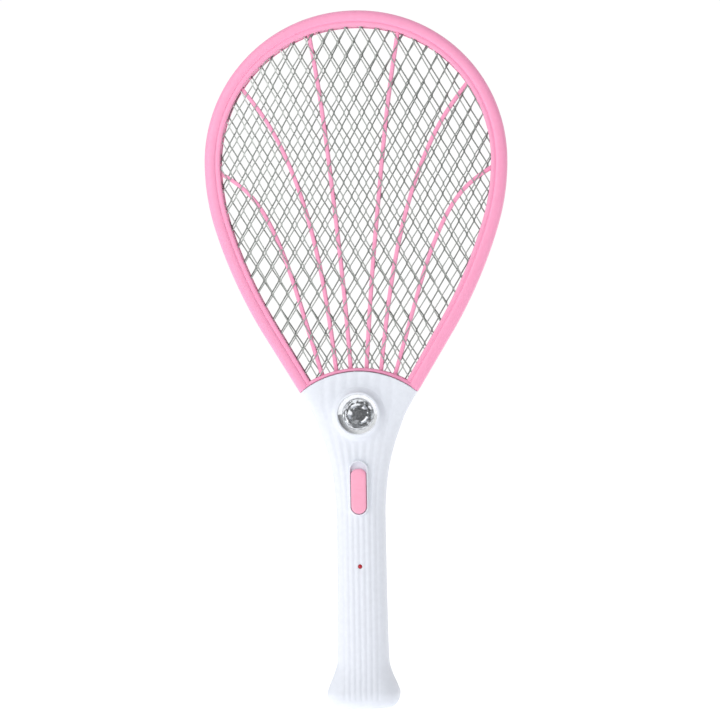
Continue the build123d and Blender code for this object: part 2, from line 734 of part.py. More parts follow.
def plug_contact(side):
    """Sprung strip on the charger board that meets a blade's tail when the plug is out."""
    strip = Plane.YZ * trace(Polyline(*CONTACT_LINE), line_width=CONTACT_THICKNESS)
    start = (side * BLADE_SPACING - CONTACT_WIDTH) / 2
    return Pos(start, 0, 0) * extrude(strip, amount=CONTACT_WIDTH)


def thumb_slider():
    """Ridged pad on the rear with a stem through the slot to the sled."""
    pad = block(-THUMB_PAD_X, THUMB_PAD_X, *THUMB_PAD_Y, *THUMB_PAD_Z)
    pad = fillet(pad.edges().filter_by(Axis.Y), THUMB_PAD_CORNER_R)
    pad = chamfer(pad.faces().sort_by(Axis.Y)[-1].edges(), THUMB_PAD_BEVEL)
    for index in range(THUMB_RIDGE_COUNT):
        rise = (index - (THUMB_RIDGE_COUNT - 1) / 2) * THUMB_RIDGE_PITCH
        pad += Pos(0, THUMB_PAD_Y[1], sum(THUMB_PAD_Z) / 2 + rise) * Box(*THUMB_RIDGE)
    stem_y = (CARRIAGE_Y[1], THUMB_PAD_Y[0] + OVERLAP)
    return pad + block(-THUMB_STEM_X, THUMB_STEM_X, *stem_y, *THUMB_STEM_Z)


# ---------------------------------------------------------------- slide switch

def switch_cap():
    """Cap that the thumb pushes, with a stem through the well's floor and a socket underneath."""
    outline = Pos(0, CAP_FOOT_Z + CAP_HEIGHT / 2) * SlotOverall(CAP_HEIGHT, CAP_WIDTH, rotation=90)
    cap = slab(outline, *CAP_Y)
    cap = fillet(cap.faces().sort_by(Axis.Y)[0].edges(), CAP_EDGE_R)
    cap += block(-STEM_HALF_X, STEM_HALF_X, CAP_Y[1] - OVERLAP, STEM_BACK_Y, *STEM_Z)
    half = LEVER_HALF + BASE_GAP
    cap -= block(-half, half, SOCKET_FRONT_Y, STEM_BACK_Y, LEVER_Z - half, LEVER_Z + half)
    groove = Rot(0, 90, 0) * Cylinder(CAP_GROOVE_R, BIG)
    return cap - Pos(0, CAP_Y[0], CAP_FOOT_Z + CAP_HEIGHT / 2) * groove


def switch_lever():
    """Lever of the slide switch, with its foot inside the switch."""
    half_x, half_z = LEVER_FOOT
    lever = block(-LEVER_HALF, LEVER_HALF, *LEVER_Y, LEVER_Z - LEVER_HALF, LEVER_Z + LEVER_HALF)
    return lever + block(-half_x, half_x, *LEVER_FOOT_Y, LEVER_Z - half_z, LEVER_Z + half_z)


def switch_pins():
    """(x, z) points of the switch's pins."""
    first = SWITCH_Z[0] + PIN_PITCH
    return mirrored([(PIN_X, first + PIN_PITCH * index) for index in range(PIN_ROWS)])


def lever_room(gap):
    """Heights that the lever's foot needs over its whole travel, with a gap at each end."""
    reach = LEVER_FOOT[1] + gap
    return (LEVER_Z - reach, LEVER_Z + reach + SWITCH_TRAVEL)


def switch_base():
    """Moulded base of the slide switch, hollowed for the lever's foot, with its pins."""
    inside_z = (SWITCH_Z[0] + COVER_WALL, SWITCH_Z[1] - COVER_WALL)
    base = block(-SWITCH_HALF_X, SWITCH_HALF_X, SWITCH_FRONT_Y, BOARD_Y[0], *inside_z)
    pocket_x = LEVER_FOOT[0] + SHANK_ROOM
    base -= block(-pocket_x, pocket_x, SWITCH_FRONT_Y, SWITCH_POCKET_Y, *lever_room(SLIDE_GAP))
    for x, z in switch_pins():
        base += rod(x, z, BOARD_Y[0], BOARD_Y[1] + SHANK_ROOM, PIN_R)
    return base


def switch_cover():
    """Folded metal cover of the slide switch with the lever's slot."""
    outside_x = SWITCH_HALF_X + COVER_WALL
    inside_z = (SWITCH_Z[0] + COVER_WALL, SWITCH_Z[1] - COVER_WALL)
    cover = block(-outside_x, outside_x, COVER_Y, BOARD_Y[0], *SWITCH_Z)
    cover -= block(-SWITCH_HALF_X, SWITCH_HALF_X, COVER_Y + COVER_WALL, BOARD_Y[0], *inside_z)
    half = LEVER_HALF + SLIDE_GAP
    slot_z = (LEVER_Z - half, LEVER_Z + half + SWITCH_TRAVEL)
    return cover - block(-half, half, -BIG, SWITCH_FRONT_Y, *slot_z)


# ---------------------------------------------------------------- torch

def torch_lens():
    """Clear disc behind the bezel's lip."""
    return rod(0, TORCH_Z, *LENS_Y, LENS_R)


def torch_reflector():
    """Bright bowl with a flange under the lens and a hole for the lamp."""
    inside = [(3.1, -5.0), (3.1, -5.9), (6.6, -8.2), (9.6, -11.4), (10.3, -12.6), (13.9, LENS_Y[1])]
    outside = [(LENS_R, LENS_Y[1]), (LENS_R, -14.7), (13.8, -14.7), (11.2, -12.2), (10.4, -10.9)]
    outside += [(7.3, -7.3), (4.6, -5.0)]
    return turned(inside + outside)


def torch_lamp():
    """Domed white LED on the torch board."""
    dome = [(0, -9.6), (0, -5.0), (2.9, -5.0), (2.9, -5.6), (2.5, -5.6), (2.5, -7.6), (1.8, -9.0)]
    return turned(dome)


def torch_board():
    """Round board behind the reflector."""
    return rod(0, TORCH_Z, *TORCH_BOARD_Y, TORCH_BOARD_R)


# ---------------------------------------------------------------- main board

def main_board():
    """High-voltage board."""
    board = block(-BOARD_HALF_WIDTH, BOARD_HALF_WIDTH, *BOARD_Y, *BOARD_Z)
    holes = [rod(x, z, *BOARD_Y, BOARD_SCREW_R + SHANK_ROOM) for x, z in mirrored(BOARD_SCREWS)]
    holes += [rod(x, z, *BOARD_Y, PIN_R) for x, z in switch_pins()]
    return board - holes


def board_screws():
    """Four small screws that hold the main board to its posts."""
    sizes = (BOARD_SCREW_TIP_Y, BOARD_Y[1], BOARD_SCREW_R, *BOARD_HEAD)
    return Compound(children=[cross_screw(x, z, *sizes) for x, z in mirrored(BOARD_SCREWS)])


def indicator_led():
    """Small red lamp that shows through the grip."""
    body = rod(0, LED_Z, *LED_Y, LED_R)
    body += Pos(0, LED_Y[0], LED_Z) * Sphere(LED_R)
    body += rod(0, LED_Z, LED_Y[1], LED_COLLAR_Y, LED_COLLAR_R)
    leg_x, leg_r = LED_LEG
    return body + [rod(side * leg_x, LED_Z, LED_COLLAR_Y, BOARD_Y[0], leg_r) for side in (-1, 1)]


def transformer_block(half_x, y0, y1, half_z):
    """Box centred on the transformer in x and z."""
    return block(-half_x, half_x, y0, y1, TRANSFORMER_Z - half_z, TRANSFORMER_Z + half_z)


def transformer_core():
    """Pair of ferrite E cores closed on each other."""
    half_x, y0, y1, half_z = CORE
    core = transformer_block(half_x, y0, y1, half_z)
    window = block(*CORE_WINDOW_X, -BIG, BIG, TRANSFORMER_Z - CORE_WINDOW_HALF_Z,
                   TRANSFORMER_Z + CORE_WINDOW_HALF_Z)
    return core - both_sides(window)


def transformer_bobbin():
    """Bobbin round the core's middle leg, with two flanges and its foot on the board."""
    coil_half = BOBBIN_HALF_Z - FLANGE_THICKNESS
    bobbin = transformer_block(*FLANGE, BOBBIN_HALF_Z) - transformer_block(BIG, -BIG, BIG, coil_half)
    bobbin += transformer_block(*SLEEVE, BOBBIN_HALF_Z)
    bobbin += transformer_block(FLANGE[0], BOARD_Y[1], FLANGE[1], BOBBIN_HALF_Z)
    return bobbin - transformer_block(*SLEEVE_HOLE, BIG)


def transformer_coil():
    """Copper winding between the bobbin's flanges."""
    coil = transformer_block(*COIL, BOBBIN_HALF_Z - FLANGE_THICKNESS)
    coil = fillet(coil.edges().filter_by(Axis.Z), COIL_CORNER_R)
    return coil - transformer_block(*SLEEVE, BOBBIN_HALF_Z)


def storage_capacitor():
    """Film capacitor that stores the charge for the meshes."""
    x = (STORAGE_CAPACITOR[0] + STORAGE_CAPACITOR[1]) / 2
    legs = [(x, z) for z in STORAGE_LEGS_Z]
    leg_y = (BOARD_Y[1], STORAGE_CAPACITOR[2] + OVERLAP)
    return film_capacitor(STORAGE_CAPACITOR, FILM_EDGE_R, legs, LEG_R, leg_y)


def multiplier_capacitors():
    """Three film capacitors of the voltage multiplier."""
    z = (MULTIPLIER_CAPACITOR[4] + MULTIPLIER_CAPACITOR[5]) / 2
    legs = [(x, z) for x in MULTIPLIER_LEGS_X]
    leg_y = (BOARD_Y[1], MULTIPLIER_CAPACITOR[2] + OVERLAP)
    one = film_capacitor(MULTIPLIER_CAPACITOR, FILM_EDGE_R, legs, LEG_R, leg_y)
    return Compound(children=[Pos(0, 0, MULTIPLIER_PITCH * index) * one for index in range(3)])


def multiplier_diodes():
    """Three high-voltage diodes."""
    return component_row(3, MULTIPLIER_DIODES_Z, BOARD_Y[1], 1, MULTIPLIER_DIODE)


def board_resistors():
    """Four resistors on the front of the main board."""
    return component_row(4, RESISTORS_Z, BOARD_Y[0], -1, RESISTOR)


def drive_transistor():
    """Power transistor that drives the transformer."""
    back, front = [BOARD_Y[1] + lift for lift in TRANSISTOR_LIFT]
    body = block(-TRANSISTOR_X, TRANSISTOR_X, back, front, *TRANSISTOR_Z)
    hole_z, hole_r = TRANSISTOR_HOLE
    body -= rod(0, hole_z, back, front, hole_r)
    pin_z = (TRANSISTOR_Z[0] - OVERLAP, TRANSISTOR_Z[0] + SHANK_ROOM)
    for x in TRANSISTOR_PINS_X:
        body += block(x - LEG_R, x + LEG_R, BOARD_Y[1], back + 2 * OVERLAP, *pin_z)
    return body


def battery():
    """Rechargeable battery block."""
    cell = block(-BATTERY_X, BATTERY_X, *BATTERY_Y, *BATTERY_Z)
    return fillet(cell.edges().filter_by(Axis.Z), BATTERY_CORNER_R)


def battery_pad():
    """Foam pad between the battery and the main board."""
    return block(-BATTERY_PAD_X, BATTERY_PAD_X, BOARD_Y[1], BATTERY_Y[0], *BATTERY_PAD_Z)


def battery_lead(side):
    """Lead from a battery terminal to the main board."""
    x = side * BATTERY_LEAD_X
    turn = (x, BATTERY_LEAD_Y, BATTERY_LEAD_Z)
    end = (x, BOARD_Y[1], BATTERY_LEAD_Z)
    return wire_lead([(x, BATTERY_LEAD_Y, BATTERY_Z[1]), turn, end], *BATTERY_LEAD)


def mesh_lead(x, y_tab):
    """Lead from the main board up to a mesh's solder tab."""
    points = [(x, BOARD_Y[1], MESH_LEAD_Z), (x, y_tab, MESH_LEAD_Z), (x, y_tab, TAB_END_Z)]
    return wire_lead(points, *MESH_LEAD)


def torch_lead(x):
    """Lead from the main board to the torch board."""
    y_foot = sum(BOARD_Y) / 2
    y_top = sum(TORCH_BOARD_Y) / 2
    start, end = TORCH_LEAD_BEND_Z
    points = [(x, y_foot, BOARD_Z[1]), (x, y_foot, start), (x, y_top, end), (x, y_top, TORCH_LEAD_TOP_Z)]
    return wire_lead(points, *TORCH_LEAD)


def charger_board():
    """Board that turns mains into charging current."""
    return block(-CHARGER_HALF_WIDTH, CHARGER_HALF_WIDTH, *CHARGER_Y, *CHARGER_Z)


def dropper_capacitor():
    """Film capacitor in series with the mains."""
    y_range = (CHARGER_Y[1], BATTERY_Y[0] - SLIDE_GAP)
    body = block(-DROPPER_CAPACITOR_X, DROPPER_CAPACITOR_X, *y_range, *DROPPER_CAPACITOR_Z)
    return fillet(body.edges(), FILM_EDGE_R)


def rectifier_diodes():
    """Four diodes of the charger's bridge."""
    return component_row(4, RECTIFIERS_Z, CHARGER_Y[1], 1, RECTIFIER)


# ---------------------------------------------------------------- write the parts

def build():
    """Every node by name."""
    outer = handle_solid(0.0)
    cavity = handle_solid(SHELL_WALL)
    holes = diamond_holes()
    outer_mesh_y = SPACER_OUT + MESH_HALF
    front_spacer = rib_spacer()
    return {
        "rim_front": rim_front(),
        "rim_rear": rim_rear(),
        "rim_screws": rim_screws(),
        "mesh_front": wire_mesh("mesh_front", -outer_mesh_y, holes),
        "mesh_centre": wire_mesh("mesh_centre", 0.0, holes),
        "mesh_rear": wire_mesh("mesh_rear", outer_mesh_y, holes),
        "rib_spacer_front": front_spacer,
        "rib_spacer_rear": mirror(front_spacer, Plane.XZ),
        "handle_front": handle_front(outer, cavity),
        "handle_rear": handle_rear(outer, cavity),
        "handle_screws": handle_screws(),
        "base_plate": base_plate(),
        "plug_carriage": plug_carriage(),
        "plug_blade_left": plug_blade(-1),
        "plug_blade_right": plug_blade(1),
        "plug_contact_left": plug_contact(-1),
        "plug_contact_right": plug_contact(1),
        "plug_thumb_slider": thumb_slider(),
        "switch_cap": switch_cap(),
        "switch_lever": switch_lever(),
        "switch_base": switch_base(),
        "switch_cover": switch_cover(),
        "torch_lens": torch_lens(),
        "torch_reflector": torch_reflector(),
        "torch_lamp": torch_lamp(),
        "torch_board": torch_board(),
        "main_board": main_board(),
        "board_screws": board_screws(),
        "indicator_led": indicator_led(),
        "transformer_core": transformer_core(),
        "transformer_bobbin": transformer_bobbin(),
        "transformer_coil": transformer_coil(),
        "storage_capacitor": storage_capacitor(),
        "multiplier_capacitors": multiplier_capacitors(),
        "multiplier_diodes": multiplier_diodes(),
        "board_resistors": board_resistors(),
        "drive_transistor": drive_transistor(),
        "battery": battery(),
        "battery_pad": battery_pad(),
        "battery_lead_red": battery_lead(1),
        "battery_lead_black": battery_lead(-1),
        "mesh_lead_centre": mesh_lead(TAB_X["mesh_centre"], 0.0),
        "mesh_lead_front": mesh_lead(TAB_X["mesh_front"], -outer_mesh_y),
        "mesh_lead_rear": mesh_lead(TAB_X["mesh_rear"], outer_mesh_y),
        "torch_lead_red": torch_lead(-TORCH_LEAD_X),
        "torch_lead_black": torch_lead(TORCH_LEAD_X),
        "charger_board": charger_board(),
        "dropper_capacitor": dropper_capacitor(),
        "rectifier_diodes": rectifier_diodes(),
    }


os.makedirs("parts", exist_ok=True)
for name, shape in build().items():
    export_step(shape, "parts/" + name + ".step")
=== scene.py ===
import json
from math import atan2, cos, degrees, hypot, pi, radians, sin, sqrt

import bmesh
import bpy
import numpy as np
from mathutils import Matrix, Vector


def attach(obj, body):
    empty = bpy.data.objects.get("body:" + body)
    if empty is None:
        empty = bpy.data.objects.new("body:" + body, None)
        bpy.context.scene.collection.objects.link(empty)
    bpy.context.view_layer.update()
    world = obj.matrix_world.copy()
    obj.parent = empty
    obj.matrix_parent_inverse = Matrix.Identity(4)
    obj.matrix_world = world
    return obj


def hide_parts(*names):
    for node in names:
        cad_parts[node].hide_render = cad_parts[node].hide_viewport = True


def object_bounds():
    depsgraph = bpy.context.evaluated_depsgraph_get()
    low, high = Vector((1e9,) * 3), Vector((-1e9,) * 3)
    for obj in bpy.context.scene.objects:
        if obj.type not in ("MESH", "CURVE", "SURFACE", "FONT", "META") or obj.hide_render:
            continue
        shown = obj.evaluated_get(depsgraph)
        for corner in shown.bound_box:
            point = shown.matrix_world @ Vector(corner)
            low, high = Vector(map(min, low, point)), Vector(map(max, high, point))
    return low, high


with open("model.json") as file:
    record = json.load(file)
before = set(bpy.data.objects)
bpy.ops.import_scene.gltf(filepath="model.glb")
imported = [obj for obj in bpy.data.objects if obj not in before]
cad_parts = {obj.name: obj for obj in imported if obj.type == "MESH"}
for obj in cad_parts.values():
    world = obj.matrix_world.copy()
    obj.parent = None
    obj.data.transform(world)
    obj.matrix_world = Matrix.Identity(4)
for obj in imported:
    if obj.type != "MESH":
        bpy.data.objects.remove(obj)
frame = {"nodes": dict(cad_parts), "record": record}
cad_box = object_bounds()

# Lengths below are in millimetres, like the design's, and become metres as each mesh is made.
# +Z runs up the racket from the pommel's base, the front faces -Y and +X is to its right.
MM = 0.001
LENGTH = (cad_box[1][2] - cad_box[0][2]) / MM

# Head outline: tangent arcs from the crown down the right side, as (radius, end angle from +Z)
HEAD_ARCS = [(114.9, 9.6), (107.9, 90.0), (163.7, 107.3), (348.9, 120.3)]
RIM_WIDTH = 11.6
# Arch between rim and handle: centre height and radius of its lower and upper line, and where the
# lower one meets the outline
ARCH_LOW = (174.4, 66.6)
ARCH_HIGH = (170.1, 73.2)
CORNER_LOW = (42.4, 225.9)
# Half of the fine gap between two moulded halves
SEAM = 0.07

# Rim screws: angles on the right side, inset of their line, and the seat's y and radius
RIM_SCREW_ANGLES = [38.0, 76.0, 104.0, 117.0]
RIM_SCREW_INSET = 4.8
RIM_SCREW_SEAT = (4.6, 2.1)
# Boss round each screw: bore radius, outer radius and top; outer radius and top in the rear half
RIM_BOSS = (1.1, 2.4, 5.2)
RIM_BOSS_REAR = (2.5, 5.1)
# Legs that the handle clamps: inner and outer x, foot z, y of the faces, rise past the arch line
RIM_LEG = (24.0, 30.4, 215.0)
RIM_LEG_Y = (3.78, 5.6)
RIM_LEG_RISE = 1.2
RIM_LEG_HOLE_R = 1.7

# Expanded metal: knuckle height, half of a strand's twist in y, sheet thickness, edge rounding
KNUCKLE = 1.5
TWIST = 0.085
SHEET = 0.42
SHEET_EDGE = 0.11
# The wires end under the lip: inset from the outline, and distance past the arch's upper line
WIRE_INSET = 9.0
WIRE_PAST_ARCH = 1.8
# Shorter shares of a strand than this are left off
STUB = 0.03
# Reach of the lattice above, below and beside the head's widest point
LATTICE_REACH = (110, 190, 116)
# Solder tab: half width, foot and top
TAB = (2.5, 197.0, 241.9)
# Flat rings of meshes and spacers, as shares of the rim's and of the arch's width inwards
MESH_RING = ((0.66, 0.86), (0.1, 0.6))
SPACER_RING = ((0.66, 0.96), (0.05, 0.85))
# Each mesh: name, y of its middle, x of its solder tab, strand width, and its diamonds: half width,
# half height, shift in x and z from the head's widest point, lean of the columns, tilt of the rows
# and bow, how far the rows spread towards top and foot
SHEETS = [
    ("mesh_front", -3.3, -10.0, 0.62, (5.53, 10.07, 2.8, 14.35, 0.0275, -0.028, 0.0)),
    ("mesh_centre", 0.0, 0.0, 0.7, (5.46, 10.04, 2.0, 4.9, -0.0156, 0.006, 0.00021)),
    ("mesh_rear", 3.3, 10.0, 0.62, (5.472, 10.063, 1.71, 5.22, -0.0156, 0.006, 0.00021)),
]

# Rib spacers: rib width, rounding of its edges, and the y of both faces
RIB_WIDTH = 2.7
RIB_ROUNDING = 0.45
SPACER_Y = (0.32, 2.98)
# Ribs of one side, as (x, z) points
RIBS = [
    [(33.5, 492.0), (26.2, 448.0), (16.3, 365.0), (9.9, 300.0), (5.5, 240.0)],
    [(87.0, 453.0), (65.7, 425.0), (44.7, 382.0), (25.3, 308.0), (15.5, 236.0)],
    [(102.0, 388.0), (79.4, 372.0), (59.4, 341.0), (38.6, 280.0), (25.0, 234.0)],
]

# Handle sections above the pommel's widest line: height, half width, half depth, exponent
SECTIONS = [
    (10.0, 26.3, 19.6, 2.6),
    (16.0, 24.4, 18.5, 2.5),
    (24.0, 21.1, 16.9, 2.4),
    (33.0, 18.8, 16.1, 2.3),
    (50.0, 18.3, 16.0, 2.3),
    (100.0, 17.8, 16.0, 2.3),
    (138.0, 17.7, 15.8, 2.3),
    (154.0, 18.5, 15.3, 2.4),
    (168.0, 20.2, 14.6, 2.5),
    (184.0, 23.8, 13.4, 2.8),
    (198.0, 28.4, 12.2, 3.1),
    (210.0, 33.2, 11.2, 3.5),
    (222.0, 39.8, 10.2, 4.0),
    (232.0, 45.7, 9.6, 4.0),
    (243.0, 52.1, 9.2, 4.0),
]
# Underside: half width and depth, and exponent; base plate's opening: half width and depth, corner
BASE_HALF = (19.0, 13.5)
BASE_EXPONENT = 2.6
BASE_OPENING = (16.05, 10.05, 4.0)
BASE_WALL = 2.0
SHELL_WALL = 2.0
# A shell's grid: columns, angle and depth of the groove along the seam, and its level rows' top
# height and step
SHELL_COLUMNS = 165
GROOVE_ANGLE = 89.7
GROOVE = 0.25
LEVEL_TOP = 196.0
LEVEL_STEP = 1.5
# Neck's top edge: gap to the rim's arch, half width, height and depth of its rounding
NECK_GAP = 0.15
NECK_HALF = 66.0
NECK_ROUNDING = (0.7, 0.55)

FLUTE_PITCH = 3.95
FLUTE_COUNT = 7
FLUTE_DEPTH = 0.5
FLUTE_POWER = 1.3
# On the neck they lose depth over these heights, and fan out: foot, half width there, most spread
FLUTE_LOSS = 0.14
FLUTE_LOSS_Z = (150, 200)
FLUTE_FAN = (140, 17.7, 2.05)
# Where they fade: heights in front and in the rear, distance from the torch's centre and the well
FLUTE_FOOT = (6.0, 9.0)
FLUTE_REAR_FOOT = (74, 78)
FLUTE_REAR_TOP = (202, 196)
FLUTE_TORCH_R = (19.6, 21.8)
FLUTE_WELL_GAP = (1.3, 2.4)

# Switch well: centre, half width and height, reach of the shell's hole and of the floor past it,
# the floor's y, and its slot's half width, foot and top
WELL_Z = 157.8
WELL_HALF = (5.8, 18.7)
WELL_HOLE_PAST = 0.4
WELL_FLOOR_PAST = 0.55
WELL_FLOOR = (-14.6, -13.32)
WELL_SLOT = (2.2, 151.2, 164.2)
# Switch cap: centre, half width and height, radius of its upper corners, and centre heights of its
# round foot and of those corners
CAP_Z = 155.6
CAP_HALF = (5.5, 16.0)
CAP_TOP_R = 4.6
CAP_FOOT_Z = CAP_Z - CAP_HALF[1] + CAP_HALF[0]
CAP_TOP_Z = CAP_Z + CAP_HALF[1] - CAP_TOP_R
# Its side as (inset, y) from the underside on, and its front's y and dome
CAP_SIDE = [
    (0.6, -15.2), (0.6, -14.85), (0.0, -14.8), (0.02, -15.2), (0.1, -17.2), (0.22, -17.75),
    (0.45, -18.15), (0.8, -18.4), (1.3, -18.52),
]
CAP_FRONT = -18.6
CAP_DOME = 0.08
# Groove across the cap: height over the centre, half width and depth
CAP_LINE = (2.2, 0.45, 0.12)
# Stem under the cap and the socket in it, as half width, foot and top, and their y
CAP_STEM = (1.8, 151.6, 159.6)
CAP_STEM_Y = (-15.6, -12.8)
CAP_SOCKET = (1.05, 154.55, 156.65)
CAP_SOCKET_Y = (-14.1, -12.0)

# Torch and indicator lamp: height, and radius of the hole in the front shell
LAMP_Z = 102.0
LAMP_BORE_R = 1.6
TORCH_Z = 210.5
TORCH_BORE_R = 15.05
# Reflector bowl: facets, how far their corners waver outwards and in y, radius of the flat faces
BOWL_FACETS = 14
BOWL_WAVER = (0.225, 0.18)
BOWL_FLAT_R = 10.2

# Handle screws as (x, z, y of the seat), radius of the seats; thumb slot: half width, foot, top
HANDLE_SCREWS = [(27.2, 219.5, 6.7), (13.2, 128.0, 7.2), (14.0, 32.0, 8.5)]
SCREW_SEAT_R = 2.65
THUMB_SLOT = (2.7, 39.6, 65.4)
# Screw bosses: bore, outer radius and top y; in the rear: bore, outer radius, seat's cup, foot y
FRONT_BOSS = (1.4, 2.6, -7.0)
REAR_BOSS = (1.6, 2.6, 3.5, 0.6)
# Y range of the cutters that open the front and the rear shell
CUT_FRONT = (-25.0, -1.0)
CUT_REAR = (2.0, 25.0)


# ---- mesh helpers

def new_object(name, data):
    """Object in the scene for a mesh, lamp or camera."""
    made = bpy.data.objects.new(name, data)
    bpy.context.scene.collection.objects.link(made)
    return made


def add_object(name, mesh, material, sharp=35.0):
    """Mesh object with a material, smooth shading and sharp edges past an angle in degrees."""
    shape = new_object(name, mesh)
    if material:
        mesh.materials.append(material)
    for face in mesh.polygons:
        face.use_smooth = True
    mesh.set_sharp_from_angle(angle=radians(sharp))
    return shape


def raw_mesh(name, points, faces):
    """Mesh from points in millimetres, with its normals pointing outwards."""
    mesh = bpy.data.meshes.new(name)
    mesh.from_pydata([tuple(p) for p in np.asarray(points) * MM], [], faces)
    tidy = bmesh.new()
    tidy.from_mesh(mesh)
    bmesh.ops.recalc_face_normals(tidy, faces=tidy.faces)
    tidy.to_mesh(mesh)
    tidy.free()
    return mesh


def grid_quads(index, wrap_rows=False, wrap_columns=False):
    """Quads over a 2-D array of vertex numbers, wrapped round where asked."""
    rows, columns = index.shape
    quads = []
    for i in range(rows if wrap_rows else rows - 1):
        for j in range(columns if wrap_columns else columns - 1):
            i2 = (i + 1) % rows
            j2 = (j + 1) % columns
            quads.append((index[i, j], index[i, j2], index[i2, j2], index[i2, j]))
    return [tuple(int(v) for v in quad) for quad in quads]


def sweep(name, rows, ring=True):
    """Closed sections in a ring or, with capped ends, a bar: rows is (stations, points, 3)."""
    stations, count, _ = rows.shape
    index = np.arange(stations * count).reshape(stations, count)
    faces = grid_quads(index, ring, True)
    if not ring:
        faces += [tuple(int(v) for v in index[0][::-1]), tuple(int(v) for v in index[-1])]
    return raw_mesh(name, rows.reshape(-1, 3), faces)


def skin_solid(name, outer, inner):
    """Closed wall between two grids of points of the same shape."""
    rows, columns, _ = outer.shape
    count = rows * columns
    index = np.arange(count).reshape(rows, columns)
    faces = grid_quads(index) + [tuple(v + count for v in q[::-1]) for q in grid_quads(index)]
    rim = list(index[0]) + list(index[1:, -1]) + list(index[-1, -2::-1]) + list(index[-2:0:-1, 0])
    for k, first in enumerate(rim):
        second = rim[(k + 1) % len(rim)]
        faces.append((int(second), int(first), int(first) + count, int(second) + count))
    points = np.concatenate([outer.reshape(-1, 3), inner.reshape(-1, 3)])
    return raw_mesh(name, points, faces)


def turned(name, profile, centre, segments=96):
    """Closed (radius, y) profile turned about a line along Y through centre (x, z)."""
    angles = np.arange(segments) * 2 * pi / segments
    radius, depth = np.array(profile).T
    x = centre[0] + np.outer(np.cos(angles), radius)
    z = centre[1] + np.outer(np.sin(angles), radius)
    y = np.tile(depth, (segments, 1))
    return sweep(name, np.stack([x, y, z], axis=2))


def turned_solid(name, profile, centre, segments=64):
    """Open (radius, y) profile that starts and ends on the axis, turned into a closed solid."""
    angles = np.arange(segments) * 2 * pi / segments
    points = [(centre[0], profile[0][1], centre[1])]
    for radius, y in profile[1:-1]:
        points += [(centre[0] + radius * cos(angle), y, centre[1] + radius * sin(angle))
                   for angle in angles]
    points.append((centre[0], profile[-1][1], centre[1]))
    rings = len(profile) - 2
    index = 1 + np.arange(rings * segments).reshape(rings, segments)
    faces = grid_quads(index, False, True)
    last = len(points) - 1
    for j in range(segments):
        k = (j + 1) % segments
        faces.append((0, int(index[0, k]), int(index[0, j])))
        faces.append((last, int(index[-1, j]), int(index[-1, k])))
    return raw_mesh(name, points, faces)


def prism(name, outline, y0, y1):
    """Flat (x, z) outline given thickness from y0 to y1."""
    count = len(outline)
    near = [(x, y0, z) for x, z in outline]
    far = [(x, y1, z) for x, z in outline]
    faces = [tuple(range(count)), tuple(range(2 * count - 1, count - 1, -1))]
    for k in range(count):
        n = (k + 1) % count
        faces.append((k, n, n + count, k + count))
    return raw_mesh(name, near + far, faces)


def box_outline(half, foot, top, x=0.0):
    """(x, z) corners of a rectangle that stands upright on x."""
    return [(x - half, foot), (x + half, foot), (x + half, top), (x - half, top)]


def circle(x, z, radius, segments=48):
    """(x, z) points round a circle."""
    angles = [2 * pi * k / segments for k in range(segments)]
    return [(x + radius * cos(a), z + radius * sin(a)) for a in angles]


def stadium(centre_z, half_width, half_height, grow=0.0, arc_steps=24, side_steps=12):
    """(x, z) points round a slot with round ends, standing upright on x = 0."""
    radius = half_width + grow
    straight = half_height - half_width
    points = []
    for top in (1, -1):
        middle = centre_z + top * straight
        for k in range(arc_steps):
            angle = pi * (k / arc_steps) + (0 if top == 1 else pi)
            points.append((radius * cos(angle), middle + radius * sin(angle)))
        for k in range(side_steps):
            share = k / side_steps
            points.append((-top * radius, centre_z + top * straight * (1 - 2 * share)))
    return points


def joined(name, parts, material, sharp=35.0):
    """One object from several meshes, which are left as separate closed shells in it."""
    whole = bmesh.new()
    for part in parts:
        whole.from_mesh(part)
    mesh = bpy.data.meshes.new(name)
    whole.to_mesh(mesh)
    whole.free()
    return add_object(name, mesh, material, sharp)


def cut(mesh, cutters):
    """The mesh with closed cutter meshes taken away."""
    tool = joined("cut_tool", cutters, None)
    done = with_modifiers(mesh, [
        ("BOOLEAN", {"object": tool, "solver": "EXACT", "operation": "DIFFERENCE"})])
    bpy.data.objects.remove(tool)
    tidy = bmesh.new()
    tidy.from_mesh(done)
    bmesh.ops.remove_doubles(tidy, verts=tidy.verts, dist=0.004 * MM)
    tidy.to_mesh(done)
    tidy.free()
    return done


def with_modifiers(mesh, steps):
    """The mesh after a list of (modifier type, settings)."""
    body = new_object("modified", mesh)
    for kind, settings in steps:
        step = body.modifiers.new(kind, kind)
        for key, value in settings.items():
            setattr(step, key, value)
    bpy.context.view_layer.update()
    done = bpy.data.meshes.new_from_object(body.evaluated_get(bpy.context.evaluated_depsgraph_get()))
    bpy.data.objects.remove(body)
    return done


def smoothstep(low, high, value):
    """0 below low, 1 above high and a smooth rise between. low may be the larger."""
    share = np.clip((value - low) / (high - low), 0.0, 1.0)
    return share * share * (3 - 2 * share)


# ---- head curves

def arc_chain():
    """The outline's arcs as (centre x, centre z, radius, start angle, end angle)."""
    x = 0.0
    z = LENGTH - HEAD_ARCS[0][0]
    start = 0.0
    chain = []
    for index, (radius, end) in enumerate(HEAD_ARCS):
        chain.append((x, z, radius, start, end))
        if index + 1 < len(HEAD_ARCS):
            step = radius - HEAD_ARCS[index + 1][0]
            x += step * sin(radians(end))
            z += step * cos(radians(end))
        start = end
    return chain


def outline_point(angle, inset):
    """Point on the right side of the outline at an angle from +Z, moved inwards by inset."""
    for x, z, radius, start, end in arc_chain():
        if start <= angle <= end:
            reach = radius - inset
            return (x + reach * sin(radians(angle)), z + reach * cos(radians(angle)))


